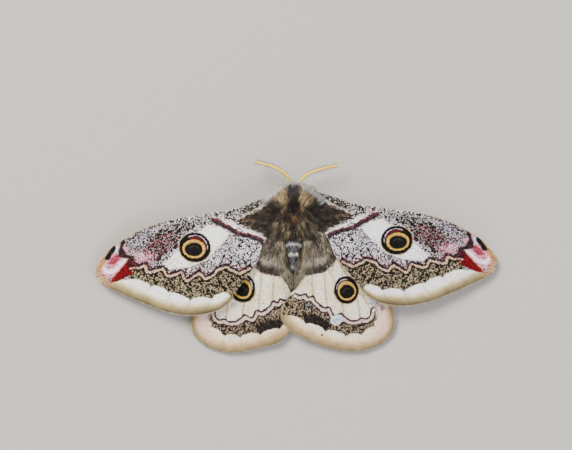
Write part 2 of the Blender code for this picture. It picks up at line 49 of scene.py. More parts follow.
mm = 0.001
eyeCorners = [corner for node in ("eye_right", "eye_left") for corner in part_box(node)]
middleLine = sum(corner.x for corner in eyeCorners) / len(eyeCorners) / mm
scene = bpy.context.scene
sides = ((1, "right"), (-1, "left"))
columns = np.column_stack
up = np.array([0.0, 0.0, 1.0])


# Small helpers

def unit(vectors):
    return vectors / np.maximum(np.linalg.norm(vectors, axis=-1, keepdims=True), 1e-9)


def ramp(low, high, value):
    part = np.clip((value - low) / (high - low), 0.0, 1.0)
    return part * part * (3.0 - 2.0 * part)


def fade(low, high, value):
    return 1.0 - ramp(low, high, value)


def band(a, b, c, d, value):
    # Rises from a to b and falls again from c to d
    return ramp(a, b, value) * fade(c, d, value)


def blend(a, b, part):
    return a + (b - a) * part


def hexValues(code):
    return np.array([int(code[i:i + 2], 16) for i in (1, 3, 5)]) / 255.0


def toLinear(colour):
    colour = hexValues(colour) if isinstance(colour, str) else np.clip(colour, 0.0, 1.0)
    return np.where(colour <= 0.04045, colour / 12.92, ((colour + 0.055) / 1.055) ** 2.4)


def hills(points, size, seed, cells=64):
    # Smooth random values from -1 to 1, whose hills are about size apart
    table = np.random.default_rng(seed).uniform(-1.0, 1.0, (cells, cells))
    cell = np.floor(points / size).astype(int)
    part = ramp(0.0, 1.0, points / size - cell)
    (x, y), (nextX, nextY) = cell.T % cells, (cell.T + 1) % cells
    near = blend(table[x, y], table[nextX, y], part[:, 0])
    far = blend(table[x, nextY], table[nextX, nextY], part[:, 0])
    return blend(near, far, part[:, 1])


def drift(points, size, seed, count=2):
    # Several sets of hills side by side, one for each direction
    return columns([hills(points, size, seed + k) for k in range(count)])


def lengths(line):
    return np.concatenate([[0.0], np.cumsum(np.linalg.norm(np.diff(line, axis=0), axis=1))])


def sample(line, steps, at):
    return columns([np.interp(at, steps, line[:, k]) for k in range(line.shape[1])])


def even(line, count):
    along = lengths(line)
    return sample(line, along, np.linspace(0.0, along[-1], count))


def curve(points, step=0.25, pieces=24):
    # Evenly spaced points on a smooth line through the given ones
    points = np.array(points, float)
    ends = np.vstack([2 * points[0] - points[1], points, 2 * points[-1] - points[-2]])
    t = np.linspace(0.0, 1.0, pieces, endpoint=False)[:, None]
    fine = [0.5 * (2 * b + (c - a) * t + (2 * a - 5 * b + 4 * c - d) * t ** 2
                   + (3 * b - a - 3 * c + d) * t ** 3)
            for a, b, c, d in zip(ends, ends[1:], ends[2:], ends[3:])]
    fine = np.vstack([*fine, points[-1:]])
    return even(fine, max(2, int(lengths(fine)[-1] / step) + 1))


def nearest(points, line):
    # Distance to a line, and the same with a sign: positive to the line's left
    best = np.full(len(points), 1e9)
    side = np.zeros(len(points))
    for a, b in zip(line, line[1:]):
        run = b - a
        part = np.clip(((points - a) @ run) / max(run @ run, 1e-12), 0.0, 1.0)
        gap = points - a - part[:, None] * run
        far = (gap ** 2).sum(1)
        closer = far < best
        best[closer] = far[closer]
        side[closer] = np.sign(run[0] * gap[closer, 1] - run[1] * gap[closer, 0])
    return np.sqrt(best), np.sqrt(best) * side


def distance(points, line):
    return nearest(points, line)[0]


def depthIn(points, outline):
    # Distance to an outline, positive inside it
    outline = np.array(outline, float)
    x, y = points.T
    within = np.zeros(len(points), bool)
    for a, b in zip(outline, np.roll(outline, -1, 0)):
        rise = b[1] - a[1] if b[1] != a[1] else 1e-9
        within ^= ((a[1] > y) != (b[1] > y)) & (x < a[0] + (y - a[1]) * (b[0] - a[0]) / rise)
    far = distance(points, np.vstack([outline, outline[:1]]))
    return np.where(within, far, -far)


def patch(points, outline, soft):
    return ramp(-soft, soft, depthIn(points, outline))


def stroke(points, line, width, soft):
    return fade(width / 2 - soft, width / 2 + soft, distance(points, line))


# Materials

def addNode(tree, kind, settings, inputs):
    node = tree.nodes.new("ShaderNode" + kind)
    for key, value in settings.items():
        setattr(node, key, value)
    return setInputs(tree, node, inputs)


def setInputs(tree, node, inputs):
    for key, value in inputs.items():
        if isinstance(value, bpy.types.NodeSocket):
            tree.links.new(value, node.inputs[key])
        else:
            node.inputs[key].default_value = value
    return node


def startMaterial(name):
    material = bpy.data.materials.new(name)
    material.use_nodes = True
    tree = material.node_tree
    place = addNode(tree, "TexCoord", {}, {}).outputs["Object"]
    return material, tree, tree.nodes["Principled BSDF"], place


def twoTone(tree, factor, low, high):
    node = addNode(tree, "ValToRGB", {}, {"Fac": factor})
    for element, colour in zip(node.color_ramp.elements, (low, high)):
        element.color = (*toLinear(colour), 1.0)
    return node.outputs["Color"]


def perMetre(size):
    # A pattern's scale from the size in millimetres that it repeats at
    return 1.0 / (size * mm)


def tintedMaterial(name, values):
    # Colour from the piece's own markings, uneven at a small size, with a fine relief
    material, tree, shader, place = startMaterial(name)
    tint = addNode(tree, "VertexColor", {"layer_name": "tint"}, {}).outputs["Color"]
    mottle = addNode(tree, "TexNoise", {}, {
        "Vector": place, "Scale": perMetre(values["mottle"]), "Detail": 3.0})
    shade = addNode(tree, "MapRange", {}, {
        "Value": mottle.outputs["Fac"], "From Min": 0.3, "From Max": 0.7,
        "To Min": 1.0 - values["uneven"], "To Max": 1.0 + values["uneven"]})
    mixed = addNode(tree, "VectorMath", {"operation": "SCALE"}, {
        0: tint, "Scale": shade.outputs["Result"]})
    grain = addNode(tree, "TexNoise", {}, {
        "Vector": place, "Scale": perMetre(values["grain"]), "Detail": 2.0}).outputs["Fac"]
    dull = addNode(tree, "MapRange", {}, {
        "Value": grain, "To Min": values["rough"] - 0.1, "To Max": values["rough"] + 0.1})
    relief = addNode(tree, "Bump", {}, {
        "Height": grain, "Strength": values["relief"], "Distance": values["grain"] * mm})
    setInputs(tree, shader, {
        "Base Color": mixed.outputs["Vector"], "Roughness": dull.outputs["Result"],
        "Normal": relief.outputs["Normal"], "IOR": values["ior"],
        "Specular IOR Level": values["shine"], "Sheen Weight": values["sheen"],
        "Sheen Roughness": 0.5, "Coat Weight": values["coat"], "Coat Roughness": 0.2})
    return material


finishes = {
    # Powdery scales of dry chitin laid like tiles: matt, with a faint glow at grazing angles
    "scaledWing": dict(mottle=0.9, uneven=0.05, grain=0.18, rough=0.75, relief=0.2, ior=1.56,
                       shine=0.12, sheen=0.0, coat=0.0),
    # Fine dry hair: soft, matt and lighter where it is seen edge on
    "softFur": dict(mottle=0.7, uneven=0.12, grain=0.25, rough=0.78, relief=0.1, ior=1.55,
                    shine=0.15, sheen=0.04, coat=0.0),
    # Bare chitin under the coat, dull and slightly pitted
    "bodyChitin": dict(mottle=0.6, uneven=0.15, grain=0.2, rough=0.6, relief=0.4, ior=1.56,
                       shine=0.3, sheen=0.0, coat=0.0),
    # Hard smooth chitin of feelers and feet, with a low shine
    "hardChitin": dict(mottle=0.4, uneven=0.14, grain=0.12, rough=0.42, relief=0.25, ior=1.56,
                       shine=0.5, sheen=0.0, coat=0.15),
}
materials = {name: tintedMaterial(name, values) for name, values in finishes.items()}


def facetedEye(values):
    # Thousands of tiny lenses: a dark glossy bead, whose facets are drawn coarse enough to show
    material, tree, shader, place = startMaterial("facetedEye")
    facets = addNode(tree, "TexVoronoi", {}, {
        "Vector": place, "Scale": perMetre(values["facet"]), "Randomness": 0.35})
    relief = addNode(tree, "Bump", {"invert": True}, {
        "Height": facets.outputs["Distance"], "Strength": 0.35,
        "Distance": values["facet"] * mm})
    setInputs(tree, shader, {
        "Base Color": twoTone(tree, facets.outputs["Distance"], values["middle"], values["rim"]),
        "Normal": relief.outputs["Normal"], "Roughness": 0.16, "IOR": 1.56,
        "Coat Weight": 0.5, "Coat Roughness": 0.08})
    return material


def floorMaterial(values):
    # Matt card: even and pale, with a barely seen fibre
    material, tree, shader, place = startMaterial("paleCard")
    fibre = addNode(tree, "TexNoise", {}, {
        "Vector": place, "Scale": perMetre(values["fibre"]), "Detail": 4.0})
    setInputs(tree, shader, {"Roughness": 0.85, "Base Color": twoTone(
        tree, fibre.outputs["Fac"], values["dark"], values["light"])})
    return material


# Making pieces

def readValues(data, name, size):
    values = np.zeros(len(data) * size, np.float32)
    data.foreach_get(name, values)
    return values.reshape(-1, size)


def setPlaces(mesh, points):
    shifted = (points + [middleLine, 0.0, 0.0]) * mm
    mesh.vertices.foreach_set("co", shifted.astype(np.float32).ravel())


def setTint(mesh, tint):
    layer = mesh.color_attributes.new(name="tint", type="FLOAT_COLOR", domain="POINT")
    full = np.ones((len(mesh.vertices), 4), np.float32)
    full[:, :3] = toLinear(tint)
    layer.data.foreach_set("color", full.ravel())


def setMap(mesh, flat):
    corners = np.zeros(len(mesh.loops), np.int32)
    mesh.loops.foreach_get("vertex_index", corners)
    layer = mesh.uv_layers.new(name="OFBake")
    layer.uv.foreach_set("vector", flat[corners].astype(np.float32).ravel())


def close(bm, mesh):
    bm.to_mesh(mesh)
    bm.free()
    return mesh


def keep(mesh, material, slot, *nodes):
    mesh.materials.append(material)
    piece = bpy.data.objects.new(mesh.name, mesh)
    scene.collection.objects.link(piece)
    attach(piece, "root")
    if nodes:
        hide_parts(*nodes)


def meshFromArrays(name, points, faces, tint, flat):
    # Points, triangles counted within one hair or scale, and each point's colour and map place
    size = points.shape[1]
    faces = (np.array(faces)[None] + size * np.arange(len(points))[:, None, None]).reshape(-1, 3)
    mesh = bpy.data.meshes.new(name)
    mesh.vertices.add(len(points) * size)
    setPlaces(mesh, points.reshape(-1, 3))
    mesh.loops.add(faces.size)
    mesh.loops.foreach_set("vertex_index", faces.astype(np.int32).ravel())
    mesh.polygons.add(len(faces))
    mesh.polygons.foreach_set("loop_start", np.arange(0, faces.size, 3, dtype=np.int32))
    mesh.update(calc_edges=True)
    mesh.validate()
    setTint(mesh, tint.reshape(-1, 3))
    setMap(mesh, flat.reshape(-1, 2))
    return mesh


def growHair(name, hair, material, slot):
    # Each hair is a closed three-sided blade that bends from its root to its tip. It is drawn
    # three to five times as thick as a real one, because a real coat has far more of them
    root, tip = hair["root"], hair["tip"]
    turn = (root + tip) / 2 + hair["bend"]
    leaning = up + 0.5 * hair["random"]
    recolour = hair.get("recolour", lambda place, shade: shade)
    rings, shades, spots = [], [], []
    for part, wide in ((0.0, 0.8), (0.55, 0.9)):
        place = root * (1 - part) ** 2 + turn * 2 * part * (1 - part) + tip * part ** 2
        along = unit((turn - root) * (1 - part) + (tip - turn) * part)
        across = unit(np.cross(along, leaning))
        rise = np.cross(across, along)
        half = hair["width"][:, None] / 2 * wide
        for aside, above in ((-1.0, -0.3), (1.0, -0.3), (0.0, 0.6)):
            rings.append(place + across * half * aside + rise * half * above)
            shades.append(recolour(place, blend(hair["rootTint"], hair["tipTint"], part)))
            spots.append(hair["patch"] + 0.003 * np.array([0.5 * aside, part - 0.5]))
    rings.append(tip)
    shades.append(recolour(tip, hair["tipTint"]))
    spots.append(hair["patch"] + 0.003 * np.array([0.0, 0.5]))
    faces = [(0, 1, 2)]
    for k, after in ((0, 1), (1, 2), (2, 0)):
        faces += [(k, 3 + after, after), (k, 3 + k, 3 + after), (3 + k, 6, 3 + after)]
    rings, shades, spots = (np.stack(rows, 1) for rows in (rings, shades, spots))
    keep(meshFromArrays(name, rings, faces, shades, spots), material, slot)


def hairOf(draw, root, tip, bend, width, colours, flat):
    # Fills in what a coat of hair needs: uneven widths and shades, and roots darker than tips as
    # painted shade deep in the coat
    count = len(root)
    shade = 1.0 + draw.normal(0.0, 0.09, (count, 1))
    return dict(root=root, tip=tip, bend=bend, patch=flat,
                width=width * draw.uniform(0.75, 1.25, count),
                random=draw.normal(0.0, 1.0, (count, 3)),
                rootTint=colours * 0.62 * shade, tipTint=colours * 1.05 * shade)


# Paint: each place has a light and a dark colour and the share of dark scales there

def blankPaint(count, light, dark, share):
    return {"light": np.tile(hexValues(light), (count, 1)), "share": np.full(count, share),
            "dark": np.tile(hexValues(dark), (count, 1)), "fleck": np.zeros(count)}


def lay(paint, mask, light, dark=None, share=None):
    mask = np.clip(mask, 0.0, 1.0)
    paint["fleck"] *= 1.0 - mask
    light = hexValues(light) if isinstance(light, str) else light
    dark = light if dark is None else hexValues(dark)
    paint["light"] += mask[:, None] * (light - paint["light"])
    paint["dark"] += mask[:, None] * (dark - paint["dark"])
    if share is not None:
        paint["share"] += mask * (share - paint["share"])


def layAll(paint, *rows):
    for row in rows:
        lay(paint, *row)


def layMarks(paint, at, marks):
    # A mark's row: light, dark, share of dark, strength, softness, width and its points. With
    # a width it is a stroke along the points, and with none a patch inside them
    for light, dark, share, strength, soft, width, *points in marks:
        mask = stroke(at, curve(points), width, soft) if width else patch(at, points, soft)
        lay(paint, strength * mask, light, dark, share)


def pick(paint, points, draw, grain=0.19, clump=0.46):
    # Each scale or hair is light, dark or now and then crimson, in small runs
    chance = (1 - clump) * draw.random(len(points)) + clump * (0.5 + 0.8 * hills(points, grain, 5))
    colour = np.where((chance < paint["share"])[:, None], paint["dark"], paint["light"])
    isFleck = (draw.random(len(points)) < paint["fleck"])[:, None]
    colour = np.where(isFleck, hexValues("#8f2c42"), colour)
    return colour * (1.0 + draw.normal(0.0, 0.05, (len(points), 1)))


def either(draw, count, share, first, second):
    return np.where(draw.random((count, 1)) < share, hexValues(first), hexValues(second))


def wander(points, seed):
    # Painted edges aren't ruled: they stray by a scale or so
    return points + 0.07 * drift(points, 0.45, seed) + 0.08 * drift(points, 1.5, seed + 2)


def scallops(notches, heights):
    # A line of rounded bumps that stand towards the wing's base between the notches
    notches = np.array(notches, float)
    line = []
    for a, b, height in zip(notches, notches[1:], heights):
        run = b - a
        out = np.array([-run[1], run[0]]) / np.linalg.norm(run)
        for t in np.linspace(0.0, 1.0, 9, endpoint=False):
            line.append(a + run * t + out * height * math.sin(math.pi * t) ** 0.6)
    return [*line, notches[-1]]


def paintEyespot(paint, points, eye):
    turn, glint = math.radians(eye["turn"]), math.radians(eye["glint"])
    cos, sin = math.cos(turn), math.sin(turn)
    spot = (points - np.array(eye["centre"])) @ np.array([[cos, -sin], [sin, cos]])

    def level(name, shift=(0.0, 0.0)):
        size = np.array(eye[name])
        return (1.0 - np.linalg.norm((spot - np.array(shift)) / size, axis=1)) * size.mean()

    black = level("black")
    low, high = (math.cos(math.radians(eye["span"] + soft)) for soft in (12, -12))
    facing = ramp(low, high, np.cos(np.arctan2(spot[:, 1], spot[:, 0]) - glint))
    lay(paint, ramp(-0.26, -0.12, black) * (1.0 - facing), "#b9a077", "#6b5842", 0.3)
    lay(paint, ramp(-0.06, 0.06, black), "#0b0908", "#090706", 0.3)
    lay(paint, 0.9 * facing * ramp(0.66, 0.74, black), "#7c1628", "#2a0c12", 0.5)
    lay(paint, 0.92 * facing * band(0.46, 0.52, 0.6, 0.66, black), "#dcd5e4", "#8f839c", 0.25)
    ochre = level("ochre", eye["ochreShift"])
    lay(paint, ramp(-0.16, -0.06, ochre), "#0d0908")
    lay(paint, ramp(-0.04, 0.06, ochre), "#d8b04e", "#aa8238", 0.25)
    deep = ramp(-0.2, 0.9, spot[:, 1]) * ramp(0.3, 0.45, ochre)
    lay(paint, 0.6 * deep * ramp(-0.04, 0.06, ochre), "#b98636", "#8a6026", 0.4)
    pupil = level("pupil", eye["pupilShift"]) + 0.06 * hills(points, 0.6, 77)
    lay(paint, ramp(-0.06, 0.04, pupil), "#0d0b0a", "#171413", 0.4)
    layMarks(paint, spot - np.array(eye["pupilShift"]), [
        ("#5f5a57", "#2a2726", 0.4, 0.55, 0.08, 0.16, *eye["lunule"])])


# The forewing: four edges of its sheet, its veins and its markings

forewing = {
    "kind": "forewing", "columns": 250, "rows": 96, "thickness": 0.3, "hinge": (1.5, 8.6),
    "fringe": (0.43, 0.77),  # from where to where along the outline
    "front": ((2.4, 10.9), (4.4, 12), (6.6, 11.5), (9, 10.8), (11.6, 9.95), (18.2, 8.95),
              (25, 7.95), (30.4, 6.2), (35.2, 3.5), (37.4, 1.3)),
    "tip": ((37.4, 1.3), (38.3, 0), (38.6, -1.4), (38, -2.7), (36.7, -3.8)),
    "back": ((2.2, 6.6), (4.8, 5.4), (6.6, 3.3), (7.8, 0.3), (10, -2.6), (12.2, -5.3), (13.6, -7),
             (16.4, -8.6), (20.8, -9.2), (25.6, -8.4), (31.4, -6.2), (36.7, -3.8)),
    "root": ((2.4, 10.9), (2.2, 6.6)),
    "veins": (
        ((3, 9.9), (9, 9.3), (16, 8.2), (24, 7.1), (28, 6.4)),
        ((3, 9), (10, 8), (15, 6.9), (18.5, 5.9), (25.5, 5.4), (30.5, 4.5), (35.6, 2.2)),
        ((18.5, 5.9), (24, 4.6), (28.8, 3.3), (32, 1), (36.2, -3.4)),
        ((28.8, 3.3), (33, 2), (38, -0.7)),
        ((18.5, 5.9), (20.2, 4.3), (20, 2.8), (17.6, 1.5)),
        ((20, 2.8), (24, 0.4), (28, -3.8), (30.6, -6.4)),
        ((3, 8.2), (7.4, 6.8), (12.2, 4.8), (17.6, 1.5), (21.8, -1.4), (26, -8.2)),
        ((15, 3.2), (18.6, -1.8), (21.6, -9)),
        ((12.2, 4.8), (14.4, -0.6), (17.6, -8.6)),
        ((3, 7.4), (6.6, 5), (9.4, 0.8), (13, -5.4)),
    ),
    "eye": dict(centre=(19.4, 3.1), black=(3.02, 2.68), ochre=(2.2, 1.72),
                ochreShift=(0.18, -0.27), pupil=(1.7, 1.24), pupilShift=(0.22, -0.42), turn=0,
                glint=124, span=66, lunule=((-1, 0.1), (-0.3, 0.62), (0.5, 0.5), (0.9, 0.1))),
    "reddish": ((24, 4.6), (27, 3), (29.6, 1.6), (31, 1.2)),
    "crimsonLine": ((6.4, 3.9), (6.7, 4.45), (8.4, 5.05), (10.2, 5.45), (12.3, 6.5), (14.3, 7.7),
                    (15.9, 8.3)),
    "wedge": ((1, 12.6), (3.6, 12.2), (4.9, 10.9), (6.4, 9.8), (8.4, 8.9), (11.1, 7.8),
              (10.7, 7.3), (8.1, 6.4), (6.2, 4.9), (4.6, 3.8), (1, 4.6)),
    "zigzag": ((9, -1), (10, -1.3), (11.3, -1.85), (12.8, -1.1), (13.8, -0.6), (15, -1.1),
               (16.3, -2.1), (17.6, -2.7), (18.2, -2.3), (18.9, -1.7), (20, -2.4), (21.1, -2.9),
               (21.8, -2.5), (22.1, -1.5), (23.1, -1.75), (24.5, -2.15), (25.3, -1.7),
               (25.8, -0.8), (27.5, -1.25), (28.8, -1.2), (29.1, -0.2), (30.4, -0.45),
               (32.2, -0.4)),
    "notches": ((12.7, -6.1), (16.6, -6.4), (20.8, -6.55), (24.8, -4.95), (28.3, -3.95),
                (31.9, -2.5), (34.2, -2.75), (36.4, -3.1), (39.5, -2.4)),
    "bumps": (1, 0.5, 0.45, 0.5, 0.5, 0, 0, 0),
    "outside": ((42, -8), (24, -16), (8, -12), (11.4, -6.6)),
    "leftMarks": ((3.7, 8.7), (37.4, -3.2), (11.4, -7.6)),
    "rightMarks": ((4.2, 9.5), (38.6, -1.3), (12.7, -6.1)),
}
hook = ((32.5, 1.05), (33.7, 0.35), (35.1, -0.85), (36.3, -1.15), (37.1, -0.3), (37.1, 0.8))
foreMarks = {
    "slant": (  # dark grey from the front edge past the eyespot
        ("#9f9594", "#1b1615", 0.66, 1, 0.8, 0, (18.6, 7.3), (24.5, 6.8), (28.2, 5), (29.6, 2.6),
         (28, 0.2), (25.6, 0.5), (24.2, 1.9), (22.8, 4), (21.6, 5.8), (18.8, 7.2)),
        ("#b0a9b1", "#2b262a", 0.52, 1, 1, 0, (25.5, 8.4), (31.6, 6), (33.6, 3.8), (32.6, 2),
         (30.2, 2.4), (28.4, 4.4))),
    "middle": (  # a pink cloud, and paler fields behind the eyespot
        ("#dfaab8", "#7d3449", 0.45, 0.9, 0.5, 0, (27.2, 1.2), (28.6, 0.3), (31.2, 0.6),
         (31, 1.8), (29.4, 2.6), (27.8, 2.2)),
        ("#dad5da", "#211e20", 0.51, 1, 0.9, 0, (6.2, 3.6), (9, 4.4), (12.6, 4.9), (15.8, 1.6),
         (15.6, -0.6), (9, -0.4), (7, 0.2)),
        ("#e0d6d6", "#453b3f", 0.38, 0.8, 0.5, 0, (5.6, 4), (7.2, 4), (8, 0.6), (10.4, -2.2),
         (8, -2))),
    "white": (  # the white patch round the eyespot, which fades away outwards
        ("#f0edee", "#3a3436", 0.38, 0.5, 0.8, 0, (18.6, 0.6), (22.4, 2.4), (25.6, 1.4),
         (26.2, -0.6), (20.6, -1)),
        ("#f8f6f4", "#8c8688", 0.04, 1, 0.22, 0, (18.8, 5.9), (16.6, 7.1), (14.6, 6.8),
         (12.7, 5.5), (14.7, 3.1), (16.7, 1.3), (18.3, 0.4), (20.6, -0.5), (22.3, -0.4),
         (24.4, -0.9), (25.4, 0.2), (24, 1.4), (22.6, 2.7), (21.9, 4.4))),
    "base": (  # a cream streak and the dark brown wedge below it
        ("#d9cfbb", "#7d7060", 0.35, 0.85, 0.2, 0.5, (4.6, 11.2), (6.4, 10.2), (8.6, 9.1),
         (10.9, 8)),
        ("#5b4c3c", "#1b1511", 0.7, 1, 0.3, 0, *forewing["wedge"])),
    "tip": (  # crimson wedge, pink and white hook, dark bars
        ("#d9a3b0", "#9a4a60", 0.4, 1, 0.3, 0, (32.2, 3.4), (34.2, 4), (36.8, 1.6), (37.8, -0.8),
         (36.6, -2.6), (33.4, -1.2), (32, 0.9)),
        ("#d6d3e2", "#8f88a0", 0.25, 1, 0.2, 0, (33.9, 4.1), (34.9, 3.6), (35, 2.4), (34.4, 2.2),
         (33.8, 3)),
        ("#b04a5c", "#7c1c30", 0.5, 1, 0.2, 0, (33.6, 2.2), (34.5, 2.2), (35.8, 1.2),
         (36.2, 0.2), (35.2, 0.2), (34.2, 0.9)),
        ("#eda9c0", "#d0668c", 0.4, 1, 0.22, 1.35, *hook),
        ("#f8eef4", "#e6b4c8", 0.2, 1, 0.25, 0.7, *hook),
        ("#78030d", "#480308", 0.4, 1, 0.1, 0, (31.5, 1.5), (32.3, 1.1), (33.3, 0), (34.9, -1.5),
         (36.1, -2.95), (34.8, -3), (33.2, -2.3), (31.7, -1.6), (31.5, 0.3)),
        ("#4a141c", "#220e12", 0.6, 0.85, 0.25, 0, (31.3, 1.6), (32.2, 1.2), (32.5, 0.3),
         (32, -1.2), (31.3, -0.4)),
        ("#d3a596", "#8f4a48", 0.4, 1, 0.12, 0.36, (30.2, -0.4), (31.2, -0.42), (32, -0.6)),
        ("#d3a084", None, None, 1, 0.07, 0.18, (32.5, 1), (34.1, -0.8), (36.1, -2.9)),
        ("#33242a", "#1c1417", 0.6, 1, 0.2, 0.62, (32.9, 4.7), (33.3, 3.6), (33.7, 2.3),
         (33, 1.7), (31.7, 1.5)),
        ("#2e2026", "#191214", 0.6, 1, 0.2, 0, (33, 3), (33.9, 2.7), (34.1, 1.6), (32.9, 1.4),
         (32.4, 1.9)),
        ("#2d2022", "#1d1516", 0.5, 1, 0.1, 0.36, (31.2, 1.6), (31.2, 0.7), (30.4, 0.2),
         (29.6, 0.2), (28.6, 0.4))),
    "spot": (("#0f0d0f", None, None, 1, 0.12, 0.8, (34.95, 3.3), (35.7, 2.35), (36.35, 1.45)),),
}


def edgesOf(wing, side):
    # The left hindwing lies under the right one and shows another inner margin
    names = ("front", "tip", "back", "root")
    return [wing.get("left" + name.title(), wing[name]) if side < 0 else wing[name]
            for name in names]


def outlineOf(wing, side):
    front, tip, back, root = (curve(line) for line in edgesOf(wing, side))
    return np.vstack([front, tip[1:], back[::-1][1:], root[::-1][1:-1]])


def paintForewing(points, side):
    wing = forewing
    at = wander(points, 20)
    x, y = points.T
    depth = depthIn(points, wing["outline"])
    front = distance(points, curve(wing["front"]))
    paint = blankPaint(len(points), "#d6d0d6", "#1d1b1d", 0.5)
    paint["fleck"] += 0.03
    # The pepper-and-salt ground: grey along the front, lilac near the tip
    lay(paint, fade(1.8, 3.6, front), "#c8c3c2", "#242123", 0.53)
    layMarks(paint, at, foreMarks["slant"])
    paint["fleck"] += 0.16 * fade(0.8, 2.4, distance(points, curve(wing["reddish"])))
    layMarks(paint, at, foreMarks["middle"])
    paint["fleck"] += 0.14 * fade(0.7, 1.8, distance(points, curve(wing["zigzag"])))
    layMarks(paint, at, foreMarks["white"])
    lay(paint, 0.9 * fade(9, 12, x) * fade(1.4, 2.6, front), "#b9b2a9", "#302b28", 0.68)
    layMarks(paint, at, foreMarks["base"])
    wedge = patch(at, wing["wedge"], 0.4)
    lay(paint, 0.5 * wedge * ramp(6.5, 9, x), "#9c876a", "#241d18", 0.62)
    lay(paint, wedge * fade(3.8, 5.4, x) * ramp(8.6, 9.6, y), "#7f6d53", "#31271d", 0.5)
    # The inner line: white, then crimson, then nearly black
    inward = nearest(at, curve(wing["crimsonLine"]))[1]
    within = band(5.9, 6.4, 15.6, 16.8, x)
    white = band(0.16, 0.3, 0.75, 1.15, inward) * within
    whole = 1 - 0.8 * np.exp(-((x - 10.7) / 0.5) ** 2)
    lay(paint, white * whole * fade(13, 15, x), "#f5f1ed", "#7d6660", 0.22)
    lay(paint, 0.6 * white * band(12, 13.5, 15, 16.4, x), "#e6c3c0", "#7a4a48", 0.35)
    crimson = ramp(-0.2, -0.06, inward) * fade(0.08, 0.26, inward + 0.08 * hills(points, 0.7, 36))
    lay(paint, 0.9 * crimson * within, "#862034", "#34121a", 0.55)
    lay(paint, 0.92 * band(-0.9, -0.6, -0.18, -0.06, inward) * within, "#33262a", "#1a1415", 0.6)
    # The zigzag: cream and pink between dark lines, and the brown field beyond it
    above = nearest(at + 0.1 * drift(points, 0.28, 91), curve(wing["zigzag"], 0.15))[1]
    reach = band(8, 9.2, 31.8, 32.6, x)
    layAll(paint, (fade(-0.35, -0.25, above) * reach, "#a89879", "#1a1512", 0.6),
           (0.95 * band(0.16, 0.24, 0.56, 0.76, above) * reach, "#46272f", "#181214", 0.68),
           (band(-0.24, -0.16, 0.16, 0.24, above) * reach, "#d8b898", "#a5816c", 0.36),
           (0.95 * band(-0.56, -0.46, -0.24, -0.16, above) * reach, "#2d221a", "#16110f", 0.7))
    # The pale border, white inside and tan at the margin; its grey tan right at the margin is
    # partly painted shade where the margin would curl down
    whiter = 1.6 * fade(13, 18, x)  # it stays white at its inner end
    shade = borderTanAndMarginShade(depth * (1 + whiter) + 0.2 * hills(points, 1.2, 33))
    lay(paint, patch(at, borderOf(wing), 0.07), shade)
    layMarks(paint, at, foreMarks["tip"])
    wide = 0.16 + 0.95 * ramp(33.5, 37.6, x) * ramp(-3.6, 1, y)
    tan = fade(wide - 0.12, wide + 0.14, depth) * ramp(22, 30, x) * ramp(-3.2, -1.6, y)
    lay(paint, tan, "#c08a5a", "#8f6438", 0.35)
    lay(paint, ramp(35, 37.5, x) * ramp(-0.2, -1.6, y) * fade(0.9, 1.4, depth), "#c39a74",
        "#9c7350", 0.35)
    layMarks(paint, at, foreMarks["spot"])
    for vein in wing["veins"]:  # they show faintly
        lay(paint, 0.25 * stroke(at, curve(vein), 0.2, 0.1), "#8f7a66")
    paintEyespot(paint, wander(points, 60) * 0.5 + points * 0.5, wing["eye"])
    return paint


def borderOf(wing):
    return [*scallops(wing["notches"], wing["bumps"]), *wing["outside"]]


def borderTanAndMarginShade(depth):
    # From the margin inwards: grey tan, tan, cream, white. The tan is the border's own colour; the
    # grey tan at the very margin is partly painted shade where the margin would curl down
    stops = (0.0, 0.5, 1.1, 1.7, 2.3)
    codes = ("#574c36", "#867755", "#b39e72", "#e3d5b5", "#fbf9f3")
    return sample(np.array([hexValues(code) for code in codes]), stops, depth)


# The hindwing

